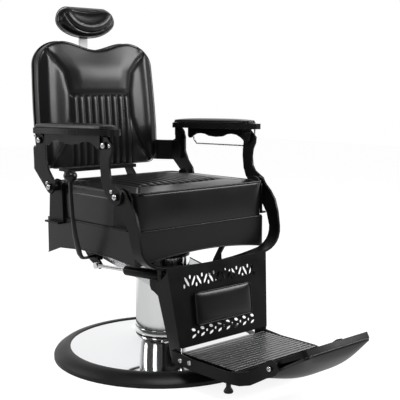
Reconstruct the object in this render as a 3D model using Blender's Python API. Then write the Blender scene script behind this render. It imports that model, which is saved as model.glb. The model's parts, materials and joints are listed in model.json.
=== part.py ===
"""Hydraulic barber chair: reclining back, linked legrest, level armrests and flip-over footrest.

Metres, +Z up, origin on the floor under the pump axis. The sitter faces -Y and has +X on the left hand.
Profiles drawn in the side plane list (y, z) points.
"""

import math

import bmesh
import bpy
from mathutils import Vector
from mathutils.geometry import tessellate_polygon

GAP = 0.0003  # running gap between touching pieces
HOLE_PLAY = 0.0004  # radius a hole has over its pin
PIN_R = 0.006

# Base and pump
BASE_R = 0.3564
DISH_R = 0.3031
PUMP_R = 0.0745
RAM_R = 0.030
COLLAR_R = 0.0905
SHROUD_R = 0.0888
SHROUD_LOW = 0.0965
SHROUD_TOP = 0.3300
PEDAL_TURN = math.radians(18)
PEDAL_PIVOT = (0.1150, 0.0860)

# Seat
SEAT_HALF = 0.262
SEAT_FRONT = -0.202
SEAT_REAR = 0.262
SEAT_LOW = 0.452
FRAME_LOW = 0.4055
FRAME_TOP = 0.4395

# Pivots in the side plane
P0 = (0.197, 0.556)
P1 = (0.249, 0.702)
Q0 = (-0.152, 0.556)
Q1 = (-0.100, 0.702)
CALF_PIVOT = (-0.180, 0.390)
LINK_REAR = (0.230, 0.334)
LINK_FRONT = (-0.115, 0.266)
STRUT_FIXED = (-0.190, 0.310)
STRUT_MOVING = (0.150, 0.290)
LEVER_PIVOT = (0.045, 0.347)
HOOP_BOW = 0.025
FLIP_PIVOT = (-0.622, 0.130)
TILT_PIVOT = (0.440, 1.095)

# Side planes, as |x| from the middle
BRACKET_X = (0.2633, 0.2703)
INNER_PLATE_X = (0.2815, 0.2897)
POST_X = (0.2902, 0.2978)
APRON_X = (0.2982, 0.3042)
LINK_X = (0.1172, 0.1257)
ARM_PLATE_X = (0.1262, 0.1342)
STRUT_X = -0.155
FOOT_ARM_X = (0.1808, 0.1868)
FOOT_ARM_JOG = 0.039  # how far the arms step in beyond the tread
FLIP_ARM_X = (FOOT_ARM_X[0] - FOOT_ARM_JOG, FOOT_ARM_X[1] - FOOT_ARM_JOG)

# Back
BACK_SLOPE = 0.09
BACK_Y = 0.312
BACK_LOW = 0.6

# Armrest
ARM_TILT = -0.0171
ARM_X = (0.256, 0.323)

# Legrest panel
PANEL_TOP = (-0.268, 0.3495)
PANEL_LOW = (-0.298, 0.115)
PANEL_TOP_HALF = 0.206
PANEL_LOW_HALF = 0.182
PANEL_THICK = 0.004
FLIP_RISE = math.radians(30)

FINISHES = {
    "black_steel": ((0.02, 0.02, 0.022), 0.45, 0.6),
    "chrome": ((0.8, 0.8, 0.82), 0.08, 1.0),
    "steel": ((0.55, 0.56, 0.58), 0.3, 1.0),
    "leather": ((0.012, 0.012, 0.013), 0.35, 0.0),
    "rubber": ((0.015, 0.015, 0.015), 0.7, 0.0),
    "plastic": ((0.015, 0.015, 0.016), 0.3, 0.0),
    "wood": ((0.5, 0.36, 0.2), 0.6, 0.0),
    "tread": ((0.22, 0.22, 0.23), 0.4, 0.9),
}


def clear_scene():
    for obj in list(bpy.data.objects):
        bpy.data.objects.remove(obj)


def paint(obj, finish):
    """Gives the object its own material."""
    colour, roughness, metallic = FINISHES[finish]
    surface = bpy.data.materials.new(obj.name)
    surface.use_nodes = True
    shader = surface.node_tree.nodes["Principled BSDF"]
    shader.inputs["Base Color"].default_value = (*colour, 1)
    shader.inputs["Roughness"].default_value = roughness
    shader.inputs["Metallic"].default_value = metallic
    obj.data.materials.clear()
    obj.data.materials.append(surface)
    return obj


def solid(name, points, faces, finish):
    """A closed mesh from points and faces, facing out and smooth between its sharp edges."""
    mesh = bpy.data.meshes.new(name)
    mesh.from_pydata([tuple(point) for point in points], [], faces)
    work = bmesh.new()
    work.from_mesh(mesh)
    bmesh.ops.recalc_face_normals(work, faces=work.faces)
    work.to_mesh(mesh)
    work.free()
    mesh.shade_smooth()
    mesh.set_sharp_from_angle(angle=math.radians(35))
    obj = bpy.data.objects.new(name, mesh)
    bpy.context.collection.objects.link(obj)
    return paint(obj, finish)


def loft(name, rings, finish):
    """Skin over rings of equal point counts, closed by a cap at each end."""
    count = len(rings[0])
    points = [point for ring in rings for point in ring]
    faces = [list(range(count)), list(range(len(points) - count, len(points)))]
    for level in range(len(rings) - 1):
        low = level * count
        for i in range(count):
            j = (i + 1) % count
            faces.append((low + i, low + j, low + count + j, low + count + i))
    return solid(name, points, faces, finish)


SIDE = (Vector((0, 0, 0)), Vector((0, 1, 0)), Vector((0, 0, 1)), Vector((1, 0, 0)))
FRONT = (Vector((0, 0, 0)), Vector((1, 0, 0)), Vector((0, 0, 1)), Vector((0, 1, 0)))
PLAN = (Vector((0, 0, 0)), Vector((1, 0, 0)), Vector((0, 1, 0)), Vector((0, 0, 1)))


def prism(name, loops, low, high, frame, finish):
    """Outline loops[0] with the holes loops[1:], extruded from low to high along the frame's third axis."""
    origin, first, second, third = frame
    flat = [point for loop in loops for point in loop]
    points = []
    for level in (low, high):
        points += [origin + first * a + second * b + third * level for a, b in flat]
    caps = tessellate_polygon([[Vector((a, b, 0)) for a, b in loop] for loop in loops])
    size = len(flat)
    faces = [tuple(cap) for cap in caps]
    faces += [tuple(size + i for i in cap) for cap in caps]
    start = 0
    for loop in loops:
        for i in range(len(loop)):
            j = (i + 1) % len(loop)
            faces.append((start + i, start + j, size + start + j, size + start + i))
        start += len(loop)
    return solid(name, points, faces, finish)


def lathe(name, profile, finish, steps=40, centre=(0, 0, 0), axis=(0, 0, 1)):
    """A closed (radius, height) profile turned about an axis through the centre."""
    turn = Vector((0, 0, 1)).rotation_difference(Vector(axis)).to_matrix()
    points = []
    index = []
    for radius, height in profile:
        if radius == 0:
            index.append([len(points)] * steps)
            points.append(turn @ Vector((0, 0, height)) + Vector(centre))
            continue
        index.append(list(range(len(points), len(points) + steps)))
        for k in range(steps):
            angle = 2 * math.pi * k / steps
            spoke = Vector((radius * math.cos(angle), radius * math.sin(angle), height))
            points.append(turn @ spoke + Vector(centre))
    faces = []
    for a in range(len(profile)):
        b = (a + 1) % len(profile)
        if profile[a][0] == 0 and profile[b][0] == 0:
            continue
        for k in range(steps):
            m = (k + 1) % steps
            corners = [index[a][k], index[a][m], index[b][m], index[b][k]]
            faces.append(tuple(dict.fromkeys(corners)))
    return solid(name, points, faces, finish)


def cylinder(name, centre, radius, low, high, finish="steel", steps=20):
    """A round bar along X, with its axis at (y, z) = centre."""
    profile = [(0, low), (radius, low), (radius, high), (0, high)]
    return lathe(name, profile, finish, steps, (0, *centre), (1, 0, 0))


def tube(name, path, radius, finish, steps=12):
    """A round bar along a path of points."""
    path = [Vector(point) for point in path]
    rings = []
    side = None
    for i, point in enumerate(path):
        along = (path[min(i + 1, len(path) - 1)] - path[max(i - 1, 0)]).normalized()
        if side is None:
            side = along.orthogonal().normalized()
        side = (side - along * side.dot(along)).normalized()
        other = along.cross(side)
        ring = []
        for k in range(steps):
            angle = 2 * math.pi * k / steps
            ring.append(point + radius * (side * math.cos(angle) + other * math.sin(angle)))
        rings.append(ring)
    return loft(name, rings, finish)


def box(name, x, y, z, finish="black_steel"):
    outline = [(x[0], y[0]), (x[1], y[0]), (x[1], y[1]), (x[0], y[1])]
    return prism(name, [outline], z[0], z[1], PLAN, finish)


def combine(obj, other, operation):
    """Joins the other solid to the first, or cuts it away, and removes the other."""
    step = obj.modifiers.new("step", "BOOLEAN")
    step.operation = operation
    step.solver = "EXACT"
    step.object = other
    graph = bpy.context.evaluated_depsgraph_get()
    mesh = bpy.data.meshes.new_from_object(obj.evaluated_get(graph))
    obj.modifiers.clear()
    obj.data = mesh
    bpy.data.objects.remove(other)
    return obj


def fuse(obj, *others):
    for other in others:
        combine(obj, other, "UNION")
    return obj


def drill(obj, centre, x, radius=PIN_R + HOLE_PLAY):
    """A round hole along X at (y, z) = centre."""
    low, high = sorted(x)
    return combine(obj, cylinder("drill", centre, radius, low - 0.002, high + 0.002), "DIFFERENCE")


def circle(centre, radius, steps=16):
    turns = [2 * math.pi * k / steps for k in range(steps)]
    return [(centre[0] + radius * math.cos(t), centre[1] + radius * math.sin(t)) for t in turns]


def rounded(half_a, low_b, high_b, radius, steps=4):
    """A rectangle |a| <= half_a, low_b <= b <= high_b with rounded corners."""
    corners = (
        (half_a - radius, high_b - radius, 0),
        (radius - half_a, high_b - radius, 1),
        (radius - half_a, low_b + radius, 2),
        (half_a - radius, low_b + radius, 3),
    )
    outline = []
    for a, b, quarter in corners:
        for k in range(steps + 1):
            angle = math.pi / 2 * (quarter + k / steps)
            outline.append((a + radius * math.cos(angle), b + radius * math.sin(angle)))
    return outline


def shrunk(outline, inset):
    """The outline drawn in on each side by the inset."""
    a = [point[0] for point in outline]
    b = [point[1] for point in outline]
    mid = ((max(a) + min(a)) / 2, (max(b) + min(b)) / 2)
    half = ((max(a) - min(a)) / 2, (max(b) - min(b)) / 2)
    scale = (1 - inset / half[0], 1 - inset / half[1])
    return [(mid[0] + (p - mid[0]) * scale[0], mid[1] + (q - mid[1]) * scale[1]) for p, q in outline]


def pad(name, outline, levels, frame, finish="leather"):
    """A cushion: the outline at each (height, inset) level along the frame's third axis."""
    origin, first, second, third = frame
    rings = []
    for height, inset in levels:
        ring = [origin + first * a + second * b + third * height for a, b in shrunk(outline, inset)]
        rings.append(ring)
    return loft(name, rings, finish)


def shear(obj, target, source, rate, start=0.0):
    """Moves each vertex along the target axis by rate times its distance from start on the source axis."""
    for vertex in obj.data.vertices:
        vertex.co[target] += rate * (vertex.co[source] - start)
    return obj


def span(side, x):
    """The low and high x of a piece at |x| on one side."""
    return sorted((side * x[0], side * x[1]))


# ---------------------------------------------------------------- base and pump


def build_base():
    plate_r = DISH_R - 0.0069
    lathe("base_plate", [(0, 0), (plate_r, 0), (plate_r, 0.008), (0, 0.008)], "steel", 64)
    inner = plate_r + GAP
    lip = DISH_R + GAP
    ring = [(inner, 0), (BASE_R, 0), (BASE_R, 0.012), (0.350, 0.0215), (0.333, 0.0335), (0.316, 0.038)]
    ring += [(0.3072, 0.0368), (lip, 0.0335), (lip, 0.030), (inner, 0.030)]
    lathe("base_ring", ring, "rubber", 64)
    bore = PUMP_R + GAP
    rise = [(DISH_R, 0.0347), (0.280, 0.0378), (0.250, 0.0417), (0.220, 0.0458), (0.190, 0.0504)]
    rise += [(0.160, 0.0557), (0.135, 0.0608), (0.115, 0.0657), (0.099, 0.0705), (bore, 0.0747)]
    dish = rise[::-1] + [(DISH_R, 0.0303)] + [(r, z - 0.0044) for r, z in rise[1:]]
    lathe("base_cover", dish, "chrome", 64)
    bore = RAM_R + HOLE_PLAY
    body = [(0, 0.0083), (PUMP_R, 0.0083), (PUMP_R, 0.262), (bore, 0.262), (bore, 0.060), (0, 0.060)]
    lathe("pump_body", body, "chrome")
    inner = PUMP_R + GAP
    collar = [(inner, 0.0752), (COLLAR_R - 0.001, 0.0752), (COLLAR_R, 0.0765), (COLLAR_R, 0.0942)]
    collar.append((COLLAR_R - 0.001, 0.0955))
    lathe("pump_collar", collar + [(inner, 0.0955)], "chrome")


def build_pedal():
    along = Vector((math.cos(PEDAL_TURN), math.sin(PEDAL_TURN), 0))
    across = Vector((-math.sin(PEDAL_TURN), math.cos(PEDAL_TURN), 0))
    up = Vector((0, 0, 1))
    side = (Vector((0, 0, 0)), along, up, across)
    hub = along * PEDAL_PIVOT[0] + up * PEDAL_PIVOT[1]

    def bar(name, radius, half, finish="steel"):
        profile = [(0, -half), (radius, -half), (radius, half), (0, half)]
        return lathe(name, profile, finish, 16, hub, across)

    foot = [(COLLAR_R + GAP, 0.0770), (0.1010, 0.0770), (0.1010, 0.0938), (COLLAR_R + GAP, 0.0938)]
    ear = [(0.0980, 0.0775), (0.1180, 0.0765), (0.1250, 0.0860), (0.1180, 0.0945), (0.0980, 0.0935)]
    bracket = prism("pedal_bracket", [foot], -0.022, 0.022, side, "black_steel")
    for low in (-0.0215, 0.0145):
        fuse(bracket, prism("ear", [ear], low, low + 0.007, side, "black_steel"))
    combine(bracket, bar("bore", 0.0046, 0.03), "DIFFERENCE")
    arm = [(0.1145, 0.0800), (0.1300, 0.0785), (0.290, 0.0535), (0.345, 0.0510), (0.372, 0.0440)]
    arm += [(0.440, 0.0420), (0.440, 0.0500), (0.378, 0.0525), (0.350, 0.0600), (0.300, 0.0612)]
    arm += [(0.1320, 0.0900), (0.1145, 0.0920)]
    pedal = prism("pump_pedal", [arm], -0.010, 0.010, side, "chrome")
    fuse(pedal, bar("hub", 0.009, 0.0138), bar("pin", 0.0042, 0.0212))
    tread = [(0.3810, 0.0527), (0.440, 0.0503), (0.440, 0.0590), (0.3810, 0.0610)]
    prism("pedal_pad", [tread], -0.024, 0.024, side, "rubber")


def build_lift():
    lathe("ram", [(0, 0.0605), (RAM_R, 0.0605), (RAM_R, SHROUD_TOP), (0, SHROUD_TOP)], "chrome", 32)
    inner = SHROUD_R - 0.0028
    wall = [(inner, SHROUD_LOW), (SHROUD_R, SHROUD_LOW), (SHROUD_R, SHROUD_TOP), (inner, SHROUD_TOP)]
    lathe("shroud", wall, "chrome")


# ---------------------------------------------------------------- seat


def build_seat_frame():
    low = SHROUD_TOP + GAP
    hub = [(0, low), (SHROUD_R, low), (SHROUD_R, 0.338), (0.045, 0.346), (0.045, 0.400), (0, 0.400)]
    mount = lathe("seat_mount", hub, "black_steel")
    fuse(mount, box("plate", (-0.11, 0.11), (-0.1, 0.1), (0.3975, FRAME_LOW - GAP)))
    z = (FRAME_LOW, FRAME_TOP)
    frame = box("seat_frame", (-0.235, 0.235), (-0.190, -0.160), z)
    fuse(frame, box("member", (-0.235, 0.235), (0.070, 0.100), z))
    for side in (-1, 1):
        fuse(frame, box("rail", span(side, (0.200, 0.258)), (-0.186, 0.190), (z[0] + 0.001, z[1] - 0.001)))
        y, height = CALF_PIVOT
        ear = [(y - 0.015, 0.410), (y - 0.016, height), (y - 0.012, height - 0.012), (y, height - 0.017)]
        ear += [(y + 0.012, height - 0.012), (y + 0.016, height), (y + 0.015, 0.410)]
        x = span(side, (ARM_PLATE_X[1] + GAP, ARM_PLATE_X[1] + 0.0063))
        fuse(frame, prism("ear", [ear], *x, SIDE, "black_steel"))
        drill(frame, CALF_PIVOT, x)
    y, height = STRUT_FIXED
    ear = [(-0.189, 0.412), (y - 0.0085, height + 0.01), (y - 0.0085, height - 0.008), (y, height - 0.0135)]
    ear += [(y + 0.0085, height - 0.009), (y + 0.0095, height + 0.002), (-0.172, 0.412)]
    x = (STRUT_X - 0.0150, STRUT_X - 0.0090)
    fuse(frame, prism("ear", [ear], *x, SIDE, "black_steel"))
    drill(frame, STRUT_FIXED, x, 0.0054)
    y, height = LEVER_PIVOT
    x = (-0.235, -0.215)
    fuse(frame, box("bearing", x, (y - 0.012, y + 0.012), (height - 0.012, FRAME_LOW + 0.004)))
    drill(frame, LEVER_PIVOT, x, 0.0060)
    board = [(-0.2590, -0.198), (0.2590, -0.198), (0.2590, 0.195), (-0.2590, 0.195)]
    prism("seat_board", [board], FRAME_TOP + GAP, SEAT_LOW - 0.0006, PLAN, "wood")


def build_seat_cushion():
    low = SEAT_LOW - GAP
    profile = [(SEAT_FRONT, low), (0.200, low), (0.236, 0.490), (SEAT_REAR, 0.530), (SEAT_REAR, 0.560)]
    profile += [(0.250, 0.575), (0.20, 0.583), (0.0, 0.586), (-0.15, 0.583), (-0.190, 0.575)]
    profile.append((SEAT_FRONT, 0.560))
    levels = [(-SEAT_HALF, 0.006), (-SEAT_HALF + 0.007, 0), (SEAT_HALF - 0.007, 0), (SEAT_HALF, 0.006)]
    pad("seat_cushion", profile, levels, SIDE)


def build_skirt():
    """A valance round the front and sides, with an arched lower edge."""
    outer, wall = 0.2630, 0.0035
    front = SEAT_FRONT - 0.0015
    side = ((0.269, 0.332), (0.20, 0.356), (0.08, 0.365), (-0.08, 0.362))
    stations = [((-outer, y), (wall, 0), z) for y, z in side]
    stations.append(((-outer, front), (wall, wall), 0.351))
    for x in (-0.17, -0.09, 0.0, 0.09, 0.17):
        stations.append(((x, front), (0, wall), 0.351 + 0.023 * (1 - (x / outer) ** 2)))
    stations.append(((outer, front), (-wall, wall), 0.351))
    stations += [((outer, y), (-wall, 0), z) for y, z in side[::-1]]
    top = SEAT_LOW - 0.0006
    rings = []
    for (x, y), (dx, dy), low in stations:
        rings.append([(x, y, low), (x, y, top), (x + dx, y + dy, top), (x + dx, y + dy, low)])
    loft("seat_skirt", rings, "leather")


def build_side_brackets(side, mark):
    ledge_x = span(side, (BRACKET_X[0] + 0.001, 0.2885))
    rear = [(0.168, 0.4385), (0.250, 0.4385), (0.243, 0.535), (0.222, 0.572), (0.205, 0.580)]
    rear += [(0.188, 0.578), (0.176, 0.565), (0.172, 0.545)]
    bracket = prism("rear_bracket_" + mark, [rear], *span(side, BRACKET_X), SIDE, "black_steel")
    fuse(bracket, box("ledge", ledge_x, (0.170, 0.248), (0.4380, 0.4440)))
    reach = span(side, (BRACKET_X[1] - 0.001, POST_X[0] - GAP))
    fuse(bracket, prism("boss", [circle(P0, 0.014)], *reach, SIDE, "black_steel"))
    drill(bracket, P0, span(side, (BRACKET_X[0], POST_X[0])))
    front = [(-0.190, 0.459), (-0.098, 0.459), (-0.100, 0.510), (-0.118, 0.560), (-0.132, 0.575)]
    front += [(-0.152, 0.580), (-0.172, 0.575), (-0.188, 0.552)]
    bracket = prism("front_bracket_" + mark, [front], *span(side, BRACKET_X), SIDE, "black_steel")
    fuse(bracket, box("ledge", ledge_x, (-0.188, -0.100), (0.4580, 0.4640)))
    reach = span(side, (BRACKET_X[1] - 0.001, INNER_PLATE_X[0] - GAP))
    fuse(bracket, prism("boss", [circle(Q0, 0.014)], *reach, SIDE, "black_steel"))
    drill(bracket, Q0, span(side, (BRACKET_X[0], POST_X[0])))


def bow(x):
    """How far the hoop's bar hangs below its ends at a given x: a parabola across 0.25 m each way."""
    return HOOP_BOW * max(0, 1 - (x / 0.25) ** 2)


def build_hoop():
    """A flat strap down each side of the seat front, bent inward to one bar over the legrest."""
    inner, outer = INNER_PLATE_X
    sides = [((-0.160, 0.578), (-0.138, 0.576)), ((-0.178, 0.570), (-0.128, 0.560))]
    sides += [((-0.190, 0.554), (-0.131, 0.541)), ((-0.211, 0.535), (-0.150, 0.517))]
    sides += [((-0.232, 0.508), (-0.175, 0.492)), ((-0.245, 0.469), (-0.197, 0.460))]
    sides += [((-0.252, 0.422), (-0.209, 0.420))]
    half = []
    for (yf, zf), (yr, zr) in sides:
        half.append([(inner, yf, zf), (outer, yf, zf), (outer, yr, zr), (inner, yr, zr)])
    bend_x, bend_z = 0.2217, 0.420
    for k in range(1, 7):
        angle = math.pi / 2 * k / 6
        c, s = math.cos(angle), math.sin(angle)
        near = (bend_x + (inner - bend_x) * c, bend_z - (inner - bend_x) * s)
        far = (bend_x + (outer - bend_x) * c, bend_z - (outer - bend_x) * s)
        front, rear = -0.252 - 0.008 * s, -0.209 - 0.005 * s
        ring = [(near[0], front, near[1]), (far[0], front, far[1])]
        half.append(ring + [(far[0], rear, far[1]), (near[0], rear, near[1])])
    low_z, high_z = bend_z - (outer - bend_x), bend_z - (inner - bend_x)
    for x in (0.185, 0.145, 0.105, 0.065, 0.022):
        half.append([(x, -0.260, high_z), (x, -0.260, low_z), (x, -0.214, low_z), (x, -0.214, high_z)])
    half = [[(x, y, z - bow(x)) for x, y, z in ring] for ring in half]
    left = [[(-x, y, z) for x, y, z in ring] for ring in half]
    hoop = loft("front_hoop", left + half[::-1], "black_steel")
    for side in (-1, 1):
        drill(hoop, Q0, span(side, INNER_PLATE_X))


def build_lever():
    """A tapered hand lever that turns in under the skirt to a round bar, with a mushroom knob on top."""
    y, z = LEVER_PIVOT
    stations = [(-0.3320, 0.0290, 0.5885, 0.0105, 0), (-0.3320, 0.0285, 0.5700, 0.0088, 0)]
    stations += [(-0.3320, 0.0270, 0.5430, 0.0085, 0), (-0.3300, 0.0240, 0.4830, 0.0090, 0.10)]
    stations += [(-0.3200, 0.0265, 0.4220, 0.0128, 0.25), (-0.3110, 0.0290, 0.3910, 0.0143, 0.35)]
    stations += [(-0.3020, 0.0310, 0.3640, 0.0146, 0.55), (-0.2900, 0.0360, 0.3500, 0.0140, 1.20)]
    stations += [(-0.2720, 0.0420, z, 0.0100, 1.57), (-0.2560, y, z, 0.0064, 1.57)]
    rings = []
    for x, mid, height, half, lean in stations:
        ring = []
        for k in range(12):
            angle = 2 * math.pi * k / 12
            across = 0.0042 * math.sin(angle)
            rise = height + across * math.sin(lean)
            ring.append((x + across * math.cos(lean), mid + half * math.cos(angle), rise))
        rings.append(ring)
    lever = loft("recline_lever", rings, "black_steel")
    fuse(lever, cylinder("bar", LEVER_PIVOT, 0.0055, -0.262, -0.206, "black_steel"))
    knob = [(0, 0.5890), (0.0120, 0.5890), (0.0170, 0.5950), (0.0207, 0.6040), (0.0205, 0.6090)]
    knob += [(0.0175, 0.6150), (0.0110, 0.6200), (0, 0.6215)]
    lathe("lever_knob", knob, "plastic", 24, (-0.332, 0.029, 0))


def build_strut():
    """The reclining cylinder: a barrel pivoted under the seat front and the rod that slides in it."""
    fixed = Vector((STRUT_X, *STRUT_FIXED))
    moving = Vector((STRUT_X, *STRUT_MOVING))
    along = (moving - fixed).normalized()
    length = (moving - fixed).length
    eye = (STRUT_X - 0.0086, STRUT_X + 0.0080)
    bore = [(0.0064, 0.178), (0.0064, 0.020), (0, 0.020)]
    body = [(0, 0.0160), (0.011, 0.0160), (0.016, 0.024), (0.016, 0.178)]
    barrel = lathe("recline_barrel", body + bore, "black_steel", 24, fixed, along)
    fuse(barrel, prism("eye", [circle(STRUT_FIXED, 0.0100)], *eye, SIDE, "black_steel"))
    fuse(barrel, tube("neck", [fixed + along * 0.004, fixed + along * 0.0185], 0.0062, "black_steel"))
    fuse(barrel, cylinder("pin", STRUT_FIXED, 0.005, STRUT_X - 0.0160, STRUT_X))
    ends = [fixed + along * 0.168, fixed + along * (length - 0.003)]
    rod = tube("recline_rod", ends, 0.0060, "chrome", 16)
    fuse(rod, prism("eye", [circle(STRUT_MOVING, 0.0105)], *eye, SIDE, "chrome"))


# ---------------------------------------------------------------- back


def back_outline(lower):
    """The back seen from the front: a waisted shield with two shoulders and a dip."""
    right = lower + [(0.247, 0.720), (0.246, 0.800), (0.243, 0.870), (0.235, 0.940), (0.223, 0.973)]
    right += [(0.203, 1.000), (0.172, 1.018), (0.140, 1.024), (0.100, 1.021), (0.050, 1.008)]
    left = [(-x, z) for x, z in reversed(right)]
    return right + [(0, 0.998)] + left


def build_back():
    lean = (Vector((0, 0, 0)), Vector((1, 0, 0)), Vector((0, 0, 1)), Vector((0, 1, 0)))
    soft = back_outline([(0.205, 0.598), (0.231, 0.611), (0.241, 0.660)])
    rear = BACK_Y + 0.040
    levels = [(BACK_Y, 0.014), (BACK_Y + 0.005, 0.005), (BACK_Y + 0.013, 0), (rear, 0)]
    shear(pad("back_cushion", soft, levels, lean), 1, 2, BACK_SLOPE, BACK_LOW)
    hard = back_outline([(0.225, 0.598), (0.2455, 0.606), (0.2470, 0.660)])
    levels = [(rear + GAP, 0), (rear + 0.022, 0), (rear + 0.029, 0.006), (rear + 0.032, 0.018)]
    shear(pad("back_shell", hard, levels, lean), 1, 2, BACK_SLOPE, BACK_LOW)


def build_back_frame():
    """A foot under the back and two arms that reach down and forward below the seat."""
    frame = box("back_frame", (-0.145, 0.145), (0.322, 0.382), (0.5835, 0.5955))
    arm = [(0.330, 0.588), (0.372, 0.588), (0.345, 0.540), (0.318, 0.480), (0.300, 0.420), (0.285, 0.380)]
    arm += [(0.262, 0.345), (0.246, 0.323), (0.232, 0.317), (0.218, 0.322), (0.212, 0.336), (0.218, 0.352)]
    arm += [(0.252, 0.400), (0.272, 0.440), (0.283, 0.500), (0.305, 0.560)]
    for side in (-1, 1):
        x = span(side, ARM_PLATE_X)
        fuse(frame, prism("arm", [arm], *x, SIDE, "black_steel"))
        drill(frame, LINK_REAR, x)
    y, z = STRUT_MOVING
    hook = [(0.262, 0.385), (0.268, 0.368), (0.256, 0.350), (0.205, 0.300), (y + 0.012, z - 0.010)]
    hook += [(y, z - 0.014), (y - 0.012, z - 0.008), (y - 0.014, z + 0.004), (y - 0.004, z + 0.014)]
    hook += [(0.200, 0.330), (0.246, 0.384)]
    hook_x = (STRUT_X + 0.0084, STRUT_X + 0.0144)
    fuse(frame, prism("hook", [hook], *hook_x, SIDE, "black_steel"))
    fuse(frame, cylinder("cross", (0.255, 0.371), 0.0105, STRUT_X + 0.0100, 0.130, "black_steel"))


def build_posts(side, mark):
    """The blocks and plates beside the back, with the rear and front posts of the armrests."""
    reach = INNER_PLATE_X[0] - GAP
    wedge = [(0.2475, 0.332), (0.2475, 0.372), (reach, 0.304), (reach, 0.284)]
    wedge = [(side * x, y) for x, y in wedge]
    prism("side_block_" + mark, [wedge], 0.606, 0.677, PLAN, "black_steel")
    plate = [(0.236, 0.612), (0.262, 0.606), (0.304, 0.606), (0.304, 0.677), (0.252, 0.677), (0.236, 0.650)]
    prism("back_plate_" + mark, [plate], *span(side, INNER_PLATE_X), SIDE, "steel")
    rear = [(0.176, 0.560), (0.181, 0.543), (0.196, 0.533), (0.210, 0.538), (0.2886, 0.6068)]
    rear += [(0.2925, 0.676), (0.276, 0.682), (0.274, 0.711), (0.263, 0.7225)]
    rear += [(0.2500, 0.7235), (0.2375, 0.7205)]
    rear += [(0.2290, 0.7115), (0.222, 0.690), (0.222, 0.642), (0.206, 0.608), (0.182, 0.582)]
    post = prism("rear_post_" + mark, [rear], *span(side, POST_X), SIDE, "black_steel")
    pivots(post, side, P0, P1)
    front = [(-0.176, 0.558), (-0.170, 0.573), (-0.150, 0.584), (-0.133, 0.594), (-0.122, 0.612)]
    front.append((-0.118, 0.640))
    front += [(-0.122, 0.665), (-0.133, 0.686), (-0.135, 0.705), (-0.122, 0.7165), (-0.110, 0.7270)]
    front += [(-0.090, 0.725), (-0.080, 0.712), (-0.080, 0.690), (-0.076, 0.665), (-0.075, 0.640)]
    front += [(-0.080, 0.600), (-0.090, 0.575), (-0.108, 0.553), (-0.130, 0.536), (-0.152, 0.531)]
    front.append((-0.170, 0.540))
    post = prism("front_post_" + mark, [front], *span(side, POST_X), SIDE, "black_steel")
    pivots(post, side, Q0, Q1)


def pivots(post, side, low, high):
    """Pivot bolts made as one with the post, for the seat bracket below and the arm's lug above."""
    for centre, reach in ((low, BRACKET_X[0] + 0.001), (high, INNER_PLATE_X[0])):
        fuse(post, cylinder("pin", centre, PIN_R, *span(side, (reach, POST_X[1] - 0.002))))
        fuse(post, cylinder("head", centre, 0.011, *span(side, (POST_X[1] - 0.001, POST_X[1] + 0.0055))))


# ---------------------------------------------------------------- armrests


def build_armrest(side, mark):
    inner, outer = ARM_X
    mid, half = (inner + outer) / 2, (outer - inner) / 2
    frame = (Vector((side * mid, 0, 0)), Vector((1, 0, 0)), Vector((0, 1, 0)), Vector((0, 0, 1)))
    tongue = half - 0.012
    board = [(half, -0.112), (half, 0.250), (half - 0.012, 0.262), (0.012 - half, 0.262)]
    board += [(-half, 0.250), (-half, -0.112)]
    board += [(-half + 0.006, -0.122), (-tongue, -0.126), (-tongue + 0.003, -0.142)]
    board.append((-tongue + 0.012, -0.149))
    board += [(tongue - 0.012, -0.149), (tongue - 0.003, -0.142), (tongue, -0.126), (half - 0.006, -0.122)]
    rest = prism("arm_board_" + mark, [board], 0.7290, 0.7470, frame, "plastic")
    shear(rest, 2, 1, ARM_TILT)
    x = span(side, (INNER_PLATE_X[0] + GAP, INNER_PLATE_X[1]))
    for y, z in (P1, Q1):
        lug = [(y - 0.018, z + 0.033), (y - 0.018, z - 0.004), (y - 0.011, z - 0.015), (y, z - 0.018)]
        lug += [(y + 0.011, z - 0.015), (y + 0.018, z - 0.004), (y + 0.018, z + 0.033)]
        fuse(rest, prism("lug", [lug], *x, SIDE, "plastic"))
        drill(rest, (y, z), x)
    top = 0.7287
    edge = [(0.214, 0.694), (0.206, 0.688), (0.196, 0.689), (0.185, 0.697), (0.168, 0.7045), (0.146, 0.707)]
    edge += [(0.122, 0.705), (0.103, 0.699), (0.066, 0.697), (0.032, 0.700), (0.012, 0.708)]
    edge.append((-0.012, 0.7105))
    edge += [(-0.036, 0.708), (-0.056, 0.700), (-0.070, 0.691), (-0.080, 0.690), (-0.085, 0.696)]
    edge = [(-0.085, top + 0.085 * -ARM_TILT), (0.214, top + 0.214 * ARM_TILT)] + edge
    prism("arm_apron_" + mark, [edge], *span(side, APRON_X), SIDE, "black_steel")
    cushion = rounded(half - 0.0045, -0.118, 0.258, 0.016, 4)
    low = 0.7470 + GAP
    levels = [(low, 0.001), (low + 0.004, 0), (low + 0.010, 0.001), (low + 0.0145, 0.005)]
    levels.append((low + 0.0165, 0.014))
    shear(pad("arm_pad_" + mark, cushion, levels, frame), 2, 1, ARM_TILT)


def build_towel_bar():
    path = [(0.3262, 0.222, 0.738), (0.3262, 0.216, 0.700), (0.3270, 0.211, 0.680), (0.3285, 0.199, 0.667)]
    path += [(0.3285, -0.080, 0.671), (0.3270, -0.092, 0.682), (0.3262, -0.096, 0.704)]
    path.append((0.3262, -0.098, 0.743))
    tube("towel_bar", path, 0.0028, "steel")


# ---------------------------------------------------------------- headrest


def headrest_outline():
    """Flat along the top with round upper corners, and one half ellipse below."""
    corner = [(math.cos(math.pi / 12 * k), math.sin(math.pi / 12 * k)) for k in range(7)]
    right = [(0.075 + 0.045 * c, 1.097 + 0.0475 * s) for c, s in corner]
    left = [(-a, b) for a, b in right[::-1]]
    lower = [math.pi * (1 + k / 18) for k in range(1, 18)]
    return right + left + [(0.120 * math.cos(t), 1.097 + 0.0570 * math.sin(t)) for t in lower]


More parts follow.
